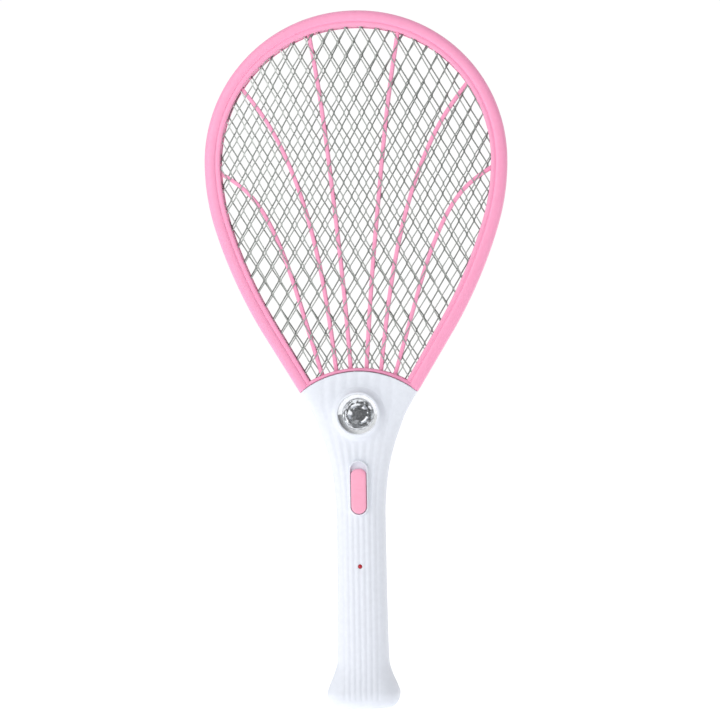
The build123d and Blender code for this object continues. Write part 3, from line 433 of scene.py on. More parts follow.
def opening_corner():
    """Where the rim's inner edge meets the arch's upper edge, on the right side."""
    last = HEAD_ARCS[-1][1]
    x, z = outline_point(last, RIM_WIDTH)
    dx = cos(radians(last))
    dz = -sin(radians(last))
    centre, radius = ARCH_HIGH
    travel = 0.0
    while hypot(x + dx * travel, z + dz * travel - centre) > radius:
        travel += 0.02
    return (x + dx * travel, z + dz * travel)


def side_run(inset, low_corner, straight_steps=24):
    """Right side of a head curve from the crown to low_corner: arcs, then a straight run."""
    points = []
    for x, z, radius, start, end in arc_chain():
        steps = max(6, int((end - start) * radius / 110))
        reach = radius - inset
        for k in range(steps):
            angle = radians(start + (end - start) * k / steps)
            points.append((x + reach * sin(angle), z + reach * cos(angle)))
    tangent = outline_point(HEAD_ARCS[-1][1], inset)
    for k in range(straight_steps + 1):
        share = k / straight_steps
        points.append((tangent[0] + share * (low_corner[0] - tangent[0]),
                       tangent[1] + share * (low_corner[1] - tangent[1])))
    return points


def arch_run(arch, corner, steps=48):
    """Points along an arch line from the right corner to the left, without the corners."""
    centre, radius = arch
    reach = atan2(corner[0], corner[1] - centre)
    angles = [reach * (1 - 2 * k / steps) for k in range(1, steps)]
    return [(radius * sin(a), centre + radius * cos(a)) for a in angles]


def head_loops():
    """Matching closed loops along the rim: outline and arch foot, opening, and which is arch."""
    corner_high = opening_corner()
    outer = side_run(0.0, CORNER_LOW)
    inner = side_run(RIM_WIDTH, corner_high)
    arch_outer = arch_run(ARCH_LOW, CORNER_LOW)
    arch_inner = arch_run(ARCH_HIGH, corner_high)
    left_outer = [(-x, z) for x, z in outer[:0:-1]]
    left_inner = [(-x, z) for x, z in inner[:0:-1]]
    is_arch = [False] * len(outer) + [True] * len(arch_outer) + [False] * len(left_outer)
    return (np.array(outer + arch_outer + left_outer), np.array(inner + arch_inner + left_inner),
            np.array(is_arch))


# Rim section of the front half as (share of the width inwards, y)
RIM_PROFILE = [
    (0.03, -SEAM), (0.0, -0.3), (0.0, -2.4), (0.012, -3.9), (0.05, -5.2), (0.12, -6.15),
    (0.21, -6.7), (0.32, -6.95), (0.44, -7.0), (0.56, -6.9), (0.64, -6.7), (0.675, -6.5),
    (0.688, -6.2), (0.7, -6.02), (0.715, -6.02), (0.735, -6.16), (0.82, -6.25), (0.91, -6.2),
    (0.965, -6.0), (0.99, -5.6), (1.0, -5.1), (1.0, -3.66), (0.83, -3.66), (0.83, -5.0),
    (0.18, -5.0), (0.18, -SEAM),
]
# The same points on the narrow arch strip, which is a plain rounded bar
ARCH_PROFILE = [
    (0.03, -3.7), (0.0, -3.9), (0.0, -4.4), (0.0, -5.0), (0.0, -5.6), (0.02, -6.2),
    (0.08, -6.6), (0.16, -6.82), (0.25, -6.9), (0.34, -6.92), (0.42, -6.92), (0.48, -6.9),
    (0.53, -6.88), (0.58, -6.86), (0.63, -6.83), (0.69, -6.78), (0.78, -6.68), (0.87, -6.5),
    (0.94, -6.2), (0.98, -5.8), (1.0, -5.3), (1.0, -3.7), (0.9, -3.66), (0.7, -3.66),
    (0.3, -3.66), (0.12, -3.66),
]


def rim_screw_points():
    """Centres of the rim screws."""
    right = [outline_point(angle, RIM_SCREW_INSET) for angle in RIM_SCREW_ANGLES]
    return right + [outline_point(0.0, RIM_SCREW_INSET)] + [(-x, z) for x, z in right]


def inside_head(x, z, inset):
    """Whether a point lies inside the outline moved inwards."""
    across = abs(x)
    for cx, cz, radius, start, end in arc_chain():
        angle = degrees(atan2(across - cx, z - cz))
        if start <= angle <= end:
            return hypot(across - cx, z - cz) <= radius - inset
    last = HEAD_ARCS[-1][1]
    foot = outline_point(last, inset)
    limit = foot[0] + (z - foot[1]) * cos(radians(last)) / -sin(radians(last))
    return across <= limit


# ---- head pieces

def ring_piece(side_profile, arch_profile, side=-1):
    """Closed ring along the rim: each profile is (share of the width inwards, y) points."""
    outer, inner, is_arch = head_loops()
    rows = np.zeros((len(outer), len(side_profile), 3))
    for station in range(len(outer)):
        profile = arch_profile if is_arch[station] else side_profile
        for k, (share, y) in enumerate(profile):
            place = outer[station] + share * (inner[station] - outer[station])
            rows[station, k] = (place[0], -side * y, place[1])
    return sweep("ring", rows)


def flat_ring(shares, arch_shares, low, high, side=-1):
    """Ring with a rectangular section between two shares of the width."""
    return ring_piece(*([(a, low), (a, high), (b, high), (b, low)] for a, b in (shares, arch_shares)),
                      side)


def rim_piece(name, side, material):
    """One rim half with its screw bosses and its two legs. side is -1 for the front."""
    ring = ring_piece(RIM_PROFILE, ARCH_PROFILE, side)
    bore, outer, top = RIM_BOSS
    low, high = sorted((side * SEAM, side * top))
    tube = [(bore, low), (bore, high), (outer, high), (outer, low)]
    if side > 0:
        seat_y, seat_r = RIM_SCREW_SEAT
        outer, top = RIM_BOSS_REAR
        ring = cut(ring, [prism("seat", circle(x, z, seat_r, 32), seat_y, 9.0)
                          for x, z in rim_screw_points()])
        tube = [(bore, low), (bore, seat_y), (seat_r, seat_y), (seat_r, top), (outer, top),
                (outer, low)]
    parts = [ring]
    for x, z in rim_screw_points():
        parts.append(turned("boss", tube, (x, z), 32))
    inner_x, outer_x, foot = RIM_LEG
    leg_y = sorted(side * y for y in RIM_LEG_Y)
    radius = ARCH_LOW[1] + RIM_LEG_RISE
    inner_top, outer_top = [ARCH_LOW[0] + sqrt(radius ** 2 - x * x) for x in (inner_x, outer_x)]
    outline = [(inner_x, foot), (outer_x, foot), (outer_x, outer_top), (inner_x, inner_top)]
    hole_x, hole_z, _ = HANDLE_SCREWS[0]
    for across in (-1, 1):
        leg = prism("leg", [(across * x, z) for x, z in outline], *leg_y)
        hole = prism("hole", circle(across * hole_x, hole_z, RIM_LEG_HOLE_R, 24), -9.0, 9.0)
        parts.append(cut(leg, [hole]))
    piece = joined(name, parts, material, 32.0)
    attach(piece, "root")
    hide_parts(name)


def in_opening(x, z):
    """Whether a point lies where the mesh shows or under the lip round it."""
    above_arch = hypot(x, z - ARCH_HIGH[0]) > ARCH_HIGH[1] - WIRE_PAST_ARCH
    return above_arch and inside_head(x, z, WIRE_INSET)


def edge_share(low, high, inside):
    """Share of the line from low to high at the opening's edge; inside is whether low is in it."""
    start = 0.0
    end = 1.0
    for _ in range(14):
        half = (start + end) / 2
        at = (low[0] + half * (high[0] - low[0]), low[1] + half * (high[1] - low[1]))
        if in_opening(*at) == inside:
            start = half
        else:
            end = half
    return (start + end) / 2


def expanded_sheet(name, y_middle, tab_x, strand, diamonds, material):
    """One wire mesh: strands and knuckles of stretched sheet steel, its border and solder tab.

    Each diamond hole has six corners, as its top and foot end in a knuckle. Stretching turned the
    strands, so the upper edge of each lies in front of the lower."""
    half_w, half_h, shift_x, shift_z, lean, tilt, bow = diamonds
    notch = strand * hypot(half_w, half_h - KNUCKLE) / (2 * half_w)
    half = KNUCKLE / 2
    front = y_middle - TWIST
    back = y_middle + TWIST
    middle = outline_point(90.0, 0.0)[1]
    sheet = bmesh.new()
    made = {}

    def vertex(x, y, z):
        """Shared vertex at a point."""
        key = (round(x, 3), round(y, 3), round(z, 3))
        if key not in made:
            made[key] = sheet.verts.new((x * MM, y * MM, z * MM))
        return made[key]

    def node(column, row):
        """Centre of a knuckle."""
        x = column * half_w + shift_x
        z = row * half_h + shift_z
        return (x + lean * z, middle + z + tilt * x + bow * z * z)

    above, below, beside = LATTICE_REACH
    columns = int(beside / half_w)
    for column in range(-columns, columns + 1):
        for row in range(-int(below / half_h), int(above / half_h)):
            if (column + row) % 2:
                continue
            x, z = node(column, row)
            inside = in_opening(x, z)
            if inside:
                low_right, high_right = (strand, front, -half), (strand, back, half)
                low_left, high_left = (-strand, front, -half), (-strand, back, half)
                top = (0, front, half + notch)
                foot = (0, back, -half - notch)
                for corners in ((low_right, high_right, high_left, low_left),
                                (high_right, top, high_left), (low_right, low_left, foot)):
                    sheet.faces.new([vertex(x + dx, y, z + dz) for dx, y, dz in corners])
            for across in (1, -1):
                nx, nz = node(column + across, row + 1)
                other = in_opening(nx, nz)
                if not inside and not other:
                    continue
                share = 1.0 if inside and other else edge_share((x, z + half), (nx, nz - half), inside)
                if (inside and share < STUB) or (not inside and share > 1 - STUB):
                    continue
                near = np.array([(x + across * strand, back, z + half), (x, front, z + half + notch)])
                far = np.array([(nx, back, nz - half - notch), (nx - across * strand, front, nz - half)])
                if not other:
                    far = near + share * (far - near)
                if not inside:
                    near = near + share * (far - near)
                quad = [near[0], far[0], far[1], near[1]]
                sheet.faces.new([vertex(*p) for p in (quad if across > 0 else quad[::-1])])
    mesh = bpy.data.meshes.new(name)
    sheet.to_mesh(mesh)
    sheet.free()
    wires = with_modifiers(mesh, [
        ("SOLIDIFY", {"thickness": SHEET * MM, "offset": 0.0}),
        ("BEVEL", {"width": SHEET_EDGE * MM, "segments": 1, "limit_method": "ANGLE"}),
    ])
    near = y_middle - SHEET / 2
    far = y_middle + SHEET / 2
    border = flat_ring(*MESH_RING, near, far)
    tab = prism("tab", box_outline(*TAB, tab_x), near, far)
    piece = joined(name, [wires, border, tab], material, 40.0)
    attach(piece, "root")
    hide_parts(name)


def smooth_line(points, steps=60):
    """Points along a smooth curve through a few (x, z) points: a natural cubic spline."""
    points = np.array(points)
    knots = np.concatenate([[0.0], np.cumsum(np.hypot(*np.diff(points, axis=0).T))])
    gap = np.diff(knots)
    count = len(points)
    system = np.eye(count)
    load = np.zeros((count, 2))
    for k in range(1, count - 1):
        system[k, k - 1:k + 2] = (gap[k - 1], 2 * (gap[k - 1] + gap[k]), gap[k])
        load[k] = 6 * ((points[k + 1] - points[k]) / gap[k] - (points[k] - points[k - 1]) / gap[k - 1])
    bend = np.linalg.solve(system, load)
    line = []
    for s in np.linspace(0, knots[-1], steps + 1):
        k = min(int(np.searchsorted(knots, s, side="right")) - 1, count - 2)
        a = (knots[k + 1] - s) / gap[k]
        b = (s - knots[k]) / gap[k]
        lift = ((a ** 3 - a) * bend[k] + (b ** 3 - b) * bend[k + 1]) * gap[k] ** 2 / 6
        line.append(a * points[k] + b * points[k + 1] + lift)
    return np.array(line)


def rib_bar(points, side):
    """One rib of a spacer, a bar with rounded edges along a smooth line."""
    line = smooth_line(points)
    along = np.gradient(line, axis=0)
    along /= np.hypot(along[:, 0], along[:, 1])[:, None]
    across = np.stack([along[:, 1], -along[:, 0]], axis=1)
    low, high = SPACER_Y
    half = RIB_WIDTH / 2
    soft = RIB_ROUNDING
    section = []
    for x, y, start in ((half - soft, low + soft, -90), (half - soft, high - soft, 0),
                        (soft - half, high - soft, 90), (soft - half, low + soft, 180)):
        for k in range(4):
            angle = radians(start + 30 * k)
            section.append((x + soft * cos(angle), y + soft * sin(angle)))
    rows = np.zeros((len(line), len(section), 3))
    for k, (offset, y) in enumerate(section):
        rows[:, k, 0] = line[:, 0] + offset * across[:, 0]
        rows[:, k, 1] = side * y
        rows[:, k, 2] = line[:, 1] + offset * across[:, 1]
    return sweep("rib", rows, ring=False)


def spacer_piece(name, side, material):
    """Ring and six fanned ribs between two meshes."""
    parts = [flat_ring(*SPACER_RING, *SPACER_Y, -side)]
    for points in RIBS:
        for across in (-1, 1):
            parts.append(rib_bar([(across * x, z) for x, z in points], side))
    piece = joined(name, parts, material, 32.0)
    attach(piece, "root")
    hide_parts(name)


# ---- handle shells

def section_values(z):
    """Half width, half depth and exponent of the handle at an array of heights."""
    z = np.asarray(z, float)
    table = np.array(SECTIONS)
    knots = table[:, 0]
    k = np.clip(np.searchsorted(knots, z, side="right") - 1, 0, len(knots) - 2)
    step = knots[k + 1] - knots[k]
    t = np.clip((z - knots[k]) / step, 0.0, 1.0)
    values = []
    for column in (1, 2, 3):
        data = table[:, column]
        secant = np.diff(data) / np.diff(knots)
        both = secant[:-1] * secant[1:]
        total = np.where(both > 0, secant[:-1] + secant[1:], 1.0)
        slope = np.concatenate([[0.0], np.where(both > 0, 2 * both / total, 0.0), [secant[-1]]])
        values.append((2 * t ** 3 - 3 * t ** 2 + 1) * data[k] + (3 * t ** 2 - 2 * t ** 3) * data[k + 1]
                      + step * ((t ** 3 - 2 * t ** 2 + t) * slope[k] + (t ** 3 - t ** 2) * slope[k + 1]))
    widest = SECTIONS[0][0]
    bulge = np.sqrt(np.clip(1 - (1 - z / widest) ** 2, 0, 1))
    below = z < widest
    width = np.where(below, BASE_HALF[0] + (SECTIONS[0][1] - BASE_HALF[0]) * bulge, values[0])
    depth = np.where(below, BASE_HALF[1] + (SECTIONS[0][2] - BASE_HALF[1]) * bulge, values[1])
    power = np.where(below, BASE_EXPONENT, values[2])
    return width, depth, power


def neck_top(x):
    """Height of the handle's top edge, an arch against the rim."""
    return ARCH_LOW[0] + np.sqrt((ARCH_LOW[1] - NECK_GAP) ** 2 - x * x)


def flute_depth(u, z, width, side):
    """Depth of the flutes at places on a shell."""
    fan_z, grip_half, widest = FLUTE_FAN
    spread = np.where(z <= fan_z, 1.0, np.minimum(width / grip_half, widest))
    place = u * width / spread / FLUTE_PITCH
    wave = ((1 + np.cos(2 * pi * place)) / 2) ** FLUTE_POWER
    wave = np.where(np.abs(place) <= FLUTE_COUNT / 2, wave, 0.0)
    depth = FLUTE_DEPTH - FLUTE_LOSS * smoothstep(*FLUTE_LOSS_Z, z)
    if side < 0:
        depth = depth * smoothstep(*FLUTE_FOOT, z)
        depth = depth * smoothstep(*FLUTE_TORCH_R, np.hypot(u * width, z - TORCH_Z))
        past = np.maximum(np.abs(z - WELL_Z) - (WELL_HALF[1] - WELL_HALF[0]), 0)
        well = np.hypot(u * width, past) - WELL_HALF[0]
        depth = depth * smoothstep(*FLUTE_WELL_GAP, well)
    else:
        depth = depth * smoothstep(*FLUTE_REAR_FOOT, z) * smoothstep(*FLUTE_REAR_TOP, z)
    return wave * depth


def opening_points(u, side):
    """Points on the base plate's opening, one for each column of the shell's grid."""
    depth = (1 - np.abs(u) ** BASE_EXPONENT) ** (1 / BASE_EXPONENT)
    x = BASE_HALF[0] * u
    y = BASE_HALF[1] * depth
    half_x, half_y, corner = BASE_OPENING
    low = np.zeros_like(u)
    high = np.full_like(u, 1.2)
    for _ in range(30):
        scale = (low + high) / 2
        dx = np.maximum(np.abs(x * scale) - (half_x - corner), 0)
        dy = np.maximum(np.abs(y * scale) - (half_y - corner), 0)
        inside = np.hypot(dx, dy) < corner
        low = np.where(inside, scale, low)
        high = np.where(inside, high, scale)
    return x * low, side * np.maximum(y * low, SEAM)


def shell_mesh(side):
    """Half of the hollow handle, without openings other than the base plate's."""
    theta = np.linspace(-90.0, 90.0, SHELL_COLUMNS)
    theta = np.sort(np.concatenate([theta, [-GROOVE_ANGLE, GROOVE_ANGLE]]))
    u = np.sin(np.radians(theta))
    edge = np.abs(u) > 0.9999999
    outer = []
    inner = []

    def add_row(z, z_inner, rounding=0.0):
        """One row of the outer and inner grids, at a height for each column."""
        width, depth, power = section_values(z)
        reach = (1 - np.abs(u) ** power) ** (1 / power)
        y = depth * reach - flute_depth(u, z, width, side) - rounding
        x = width * u - np.where(edge, GROOVE * np.sign(u), 0.0)
        outer.append(np.stack([x, side * np.maximum(y, SEAM), z], axis=1))
        width, depth, power = section_values(z_inner)
        reach = (1 - np.abs(u) ** power) ** (1 / power)
        y = (depth - SHELL_WALL) * reach
        inner.append(np.stack([(width - SHELL_WALL) * u, side * np.maximum(y, SEAM), z_inner], axis=1))

    flat = np.ones_like(u)
    open_x, open_y = opening_points(u, side)
    # Wall of the base plate's opening, from the inside down to its softened lower edge
    for grow, z, grow_in in ((1.0, BASE_WALL - 0.3, 1.005), (1.0, 0.3, 1.01), (1.012, 0.0, 1.02)):
        outer.append(np.stack([open_x * grow, open_y * grow, z * flat], axis=1))
        inner.append(np.stack([open_x * grow_in, open_y * grow_in, BASE_WALL * flat], axis=1))
    for phi in np.linspace(0, 90, 15)[:-1]:
        z = SECTIONS[0][0] * (1 - cos(radians(phi)))
        add_row(z * flat, (BASE_WALL + z * (1 - BASE_WALL / SECTIONS[0][0])) * flat)
    for z in np.arange(SECTIONS[0][0], LEVEL_TOP, LEVEL_STEP):
        add_row(z * flat, z * flat)
    z_start = z
    z_end = neck_top(0 * u)
    for _ in range(40):
        half_width = np.minimum(section_values(z_end)[0], NECK_HALF)
        z_end = neck_top(half_width * u) * 0.5 + z_end * 0.5
    height, depth = NECK_ROUNDING
    for share in list(np.linspace(0, 0.94, 24)[1:]) + [0.96, 0.975, 0.985, 0.993, 1.0]:
        z = z_start + share * (z_end - z_start)
        near = np.clip((z - (z_end - height)) / height, 0, 1)
        add_row(z, z, depth * (1 - np.sqrt(1 - near * near)))
    return skin_solid("shell", np.array(outer), np.array(inner))


def ring_on_stadium(half_width, half_height, centre_z, profile):
    """Closed ring round a stadium: profile is (distance outwards, y) points."""
    rows = []
    for grow, y in profile:
        rows.append([(x, y, z) for x, z in stadium(centre_z, half_width, half_height, grow)])
    return sweep("ring", np.array(rows).transpose(1, 0, 2))


# Torch bezel as (radius, y) from its back round its lip, flare of its foot, and how deep that ends
BEZEL = [
    (15.0, -9.0), (15.0, -16.6), (14.2, -16.6), (14.2, -16.95), (14.4, -17.22), (14.85, -17.33),
    (15.35, -17.25), (15.75, -16.9), (15.95, -16.3),
]
BEZEL_FLARE = 3.9
BEZEL_SUNK = 0.4
# Switch surround as (distance out from the well, y)
SURROUND = [
    (0.0, -13.3), (0.0, -16.95), (0.12, -17.2), (0.35, -17.3), (0.65, -17.25), (0.88, -17.0),
    (1.0, -15.9), (1.35, -14.4), (1.35, -12.6), (0.8, -12.6), (0.8, -13.3),
]


def bezel_mesh(segments=128, steps=10):
    """Torch bezel whose foot runs out into the neck in a hollow curve all round."""
    start_r, start_y = BEZEL[-1]
    rows = []
    for k in range(segments):
        angle = 2 * pi * k / segments
        row = [(r * cos(angle), y, TORCH_Z + r * sin(angle)) for r, y in BEZEL]
        for step in range(1, steps + 1):
            turn = pi / 2 * step / steps
            radius = start_r + BEZEL_FLARE * (1 - cos(turn))
            x = radius * cos(angle)
            z = TORCH_Z + radius * sin(angle)
            skin = surface_y(x, z)
            sunk = BEZEL_SUNK if step == steps else 0.0
            row.append((x, -(skin - sunk + (-start_y - skin) * (1 - sin(turn))), z))
        rows.append(row)
    return sweep("bezel", np.array(rows))


def handle_front_piece(material):
    """Front shell with the torch bezel and the switch's surround and floor moulded in it."""
    shell = cut(shell_mesh(-1), [
        prism("bore", circle(0, TORCH_Z, TORCH_BORE_R, 96), *CUT_FRONT),
        prism("well", stadium(WELL_Z, *WELL_HALF, WELL_HOLE_PAST), *CUT_FRONT),
        prism("lamp", circle(0, LAMP_Z, LAMP_BORE_R, 40), *CUT_FRONT),
    ])
    floor = prism("floor", stadium(WELL_Z, *WELL_HALF, WELL_FLOOR_PAST), *WELL_FLOOR)
    parts = [
        shell,
        bezel_mesh(),
        ring_on_stadium(*WELL_HALF, WELL_Z, SURROUND),
        cut(floor, [prism("slot", box_outline(*WELL_SLOT), *CUT_FRONT)]),
    ]
    bore, outer, top = FRONT_BOSS
    tube = [(bore, -SEAM), (bore, top), (outer, top), (outer, -SEAM)]
    for x, z, _ in HANDLE_SCREWS:
        parts += [turned("boss", tube, (across * x, z), 32) for across in (-1, 1)]
    piece = joined("handle_front", parts, material, 38.0)
    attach(piece, "root")
    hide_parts("handle_front")


def handle_rear_piece(material):
    """Rear shell with sunk screw seats and the slot of the thumb slider."""
    cutters = [prism("seat", circle(across * x, z, SCREW_SEAT_R, 40), *CUT_REAR)
               for x, z, _ in HANDLE_SCREWS for across in (-1, 1)]
    cutters.append(prism("slot", box_outline(*THUMB_SLOT), *CUT_REAR))
    parts = [cut(shell_mesh(1), cutters)]
    bore, outer, cup, foot = REAR_BOSS
    for x, z, seat in HANDLE_SCREWS:
        top = surface_y(x, z) - 1.0
        tube = [(bore, foot), (bore, seat), (SCREW_SEAT_R, seat), (SCREW_SEAT_R, top), (cup, top),
                (cup, seat - 1.5), (outer, seat - 2.2), (outer, foot)]
        parts += [turned("boss", tube, (across * x, z), 40) for across in (-1, 1)]
    piece = joined("handle_rear", parts, material, 38.0)
    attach(piece, "root")
    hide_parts("handle_rear")


def surface_y(x, z):
    """Half depth of the handle's outside at a place, without flutes."""
    width, depth, power = [float(v) for v in section_values(np.array(float(z)))]
    return depth * (1 - (abs(x) / width) ** power) ** (1 / power)


# ---- switch, torch and lamp

def cap_outline(inset, arc_steps=18, side_steps=44):
    """(x, z) points round the cap: a full round foot and a rounded top with short flats."""
    half_w = CAP_HALF[0]
    run = CAP_TOP_Z - CAP_FOOT_Z
    shares = [k / side_steps for k in range(1, side_steps)]

    def arc(x, z, radius, start, steps):
        """Points round part of a circle, from an angle in degrees."""
        angles = [radians(start + 90 * k / arc_steps) for k in range(steps + 1)]
        reach = radius - inset
        return [(x + reach * cos(angle), z + reach * sin(angle)) for angle in angles]

    points = arc(half_w - CAP_TOP_R, CAP_TOP_Z, CAP_TOP_R, 0, arc_steps)
    points += arc(CAP_TOP_R - half_w, CAP_TOP_Z, CAP_TOP_R, 90, arc_steps)
    points += [(inset - half_w, CAP_TOP_Z - share * run) for share in shares]
    points += arc(0, CAP_FOOT_Z, half_w, 180, 2 * arc_steps)
    points += [(half_w - inset, CAP_FOOT_Z + share * run) for share in shares]
    return np.array(points)


def switch_cap_piece(material):
    """Pink cap with a slightly domed front, a faint cross line, and its stem with a socket."""
    rows = []
    for inset, y in CAP_SIDE:
        outline = cap_outline(inset)
        rows.append(np.stack([outline[:, 0], np.full(len(outline), y), outline[:, 1]], axis=1))

    def spine(row):
        """The row's points moved to the cap's middle line."""
        height = np.clip(row[:, 2], CAP_FOOT_Z, CAP_TOP_Z)
        return np.stack([0 * row[:, 0], row[:, 1], height], axis=1)

    edge = rows[-1]
    line_z, line_half, line_depth = CAP_LINE
    for share in (0.25, 0.5, 0.75, 1.0):
        row = edge + share * (spine(edge) - edge)
        line = np.exp(-((row[:, 2] - CAP_Z - line_z) / line_half) ** 2)
        row[:, 1] = CAP_FRONT + CAP_DOME * (1 - share) ** 2 + line_depth * line
        rows.append(row)
    rows.insert(0, spine(rows[0]))
    grid = np.array(rows)
    index = np.arange(grid.shape[0] * grid.shape[1]).reshape(grid.shape[:2])
    cap = raw_mesh("cap", grid.reshape(-1, 3), grid_quads(index, False, True))
    tidy = bmesh.new()
    tidy.from_mesh(cap)
    bmesh.ops.remove_doubles(tidy, verts=tidy.verts, dist=0.01 * MM)
    bmesh.ops.recalc_face_normals(tidy, faces=tidy.faces)
    tidy.to_mesh(cap)
    tidy.free()
    stem = cut(prism("stem", box_outline(*CAP_STEM), *CAP_STEM_Y),
               [prism("socket", box_outline(*CAP_SOCKET), *CAP_SOCKET_Y)])
    piece = joined("switch_cap", [cap, stem], material, 40.0)
    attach(piece, "switch_slider")
    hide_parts("switch_cap")


def reflector_piece(material):
    """Bright reflector: smooth outer cone, and a bowl of flat facets round the lamp."""
    cone = [(10.35, -12.5), (10.9, -13.2), (12.0, -14.2), (13.2, -15.0), (14.0, -15.48), (14.9, -15.48),
            (14.9, -14.7), (13.8, -14.7), (11.4, -12.6), (10.6, -11.9)]
    parts = [turned("cone", cone, (0, TORCH_Z), 96)]
    inside = [(2.6, -5.5), (4.7, -7.0), (7.7, -9.2), (9.6, -11.5), (10.5, -12.55)]
    outside = [(11.2, -12.2), (10.2, -10.4), (8.4, -8.2), (5.6, -6.2), (2.6, -5.05)]
    rows = []
    for k in range(BOWL_FACETS):
        row = []
        for level, (radius, y) in enumerate(inside + outside):
            turned_half = level % 2 and level < len(inside)
            angle = 2 * pi * (k + 0.5 * turned_half) / BOWL_FACETS
            waver = sin(2.4 * k + 1.7 * level) if 0 < level < len(inside) - 1 else 0.0
            reach = radius + BOWL_WAVER[0] * waver
            row.append((reach * cos(angle), y + BOWL_WAVER[1] * waver,
                        TORCH_Z + reach * sin(angle)))
        rows.append(row)
    parts.append(sweep("bowl", np.array(rows)))
    piece = joined("torch_reflector", parts, material, 30.0)
    for face in piece.data.polygons:
        centre = face.center / MM
        if hypot(centre.x, centre.z - TORCH_Z) < BOWL_FLAT_R:
            face.use_smooth = False
    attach(piece, "root")
    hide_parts("torch_reflector")


def lens_piece(material):
    """Clear lens, slightly domed."""
    profile = [(0, -16.95), (4, -16.93), (8, -16.87), (11, -16.78), (13.4, -16.66), (14.5, -16.56),
               (14.85, -16.4), (14.85, -15.7), (14.7, -15.52), (0, -15.52)]
    piece = add_object("torch_lens", turned_solid("lens", profile, (0, TORCH_Z), 96), material)
    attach(piece, "root")
    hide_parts("torch_lens")


def lamp_piece(material):
    """Torch lamp: domed body with a flange behind."""
    dome = [(0, -9.6), (0.7, -9.5), (1.4, -9.12), (2.0, -8.5), (2.35, -7.8), (2.5, -7.0), (2.5, -3.4),
            (2.9, -3.3), (2.9, -2.3), (2.7, -2.2), (0, -2.2)]
    piece = add_object("torch_lamp", turned_solid("lamp", dome, (0, TORCH_Z), 48), material)
    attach(piece, "root")
    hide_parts("torch_lamp")


def indicator_piece(material):
    """Small red lamp with a domed tip."""
    dome = [(0, -16.7), (0.55, -16.63), (1.0, -16.38), (1.3, -15.98), (1.45, -15.4), (1.45, -12.2),
            (1.75, -12.1), (1.75, -11.5), (0, -11.5)]
    piece = add_object("indicator_led", turned_solid("led", dome, (0, LAMP_Z), 40), material)
    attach(piece, "root")
    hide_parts("indicator_led")


# ---- materials

# Ranges of the noise over which colour and roughness drift, and how much finer the latter's is
COLOUR_DRIFT = (0.32, 0.68)
ROUGH_DRIFT = (0.3, 0.7)
ROUGH_GRAIN = 2.3


def linear(channel):
    """Linear value of an sRGB channel from 0 to 255."""
    share = channel / 255
    return share / 12.92 if share <= 0.04045 else ((share + 0.055) / 1.055) ** 2.4


def colour(values):
    """Linear colour with alpha from an sRGB triple."""
    return tuple(linear(v) for v in values) + (1.0,)


def finish(name, low, high, rough, grain=300.0, bump=0.1, bump_grain=3000.0, depth=0.05, **sockets):
    """Procedural material: colour and roughness drift with noise, and fine noise gives the bump.

    low and high are the sRGB colours at the two ends of the drift, rough the range of roughness,
    grain and bump_grain noise scales per metre, and depth the bump's height in millimetres."""
    material = bpy.data.materials.new(name)
    material.use_nodes = True
    nodes = material.node_tree.nodes
    links = material.node_tree.links
    shader = nodes["Principled BSDF"]
    place = nodes.new("ShaderNodeTexCoord")

    def noise(scale, detail):
        """Noise over the piece's own coordinates."""
        texture = nodes.new("ShaderNodeTexNoise")
        texture.inputs["Scale"].default_value = scale
        texture.inputs["Detail"].default_value = detail
        links.new(place.outputs["Object"], texture.inputs["Vector"])
        return texture.outputs["Fac"]

    ramp = nodes.new("ShaderNodeValToRGB")
    for stop, position, shade in zip(ramp.color_ramp.elements, COLOUR_DRIFT, (low, high)):
        stop.position = position
        stop.color = colour(shade)
    links.new(noise(grain, 4.0), ramp.inputs["Fac"])
    links.new(ramp.outputs["Color"], shader.inputs["Base Color"])
    spread = nodes.new("ShaderNodeMapRange")
    for socket, value in zip(("From Min", "From Max", "To Min", "To Max"), ROUGH_DRIFT + rough):
        spread.inputs[socket].default_value = value
    links.new(noise(grain * ROUGH_GRAIN, 3.0), spread.inputs["Value"])
    links.new(spread.outputs["Result"], shader.inputs["Roughness"])
    relief = nodes.new("ShaderNodeBump")
    relief.inputs["Strength"].default_value = bump
    relief.inputs["Distance"].default_value = depth * MM
    links.new(noise(bump_grain, 2.0), relief.inputs["Height"])
    links.new(relief.outputs["Normal"], shader.inputs["Normal"])
    for socket, value in sockets.items():
        shader.inputs[socket.replace("_", " ")].default_value = value
    return material


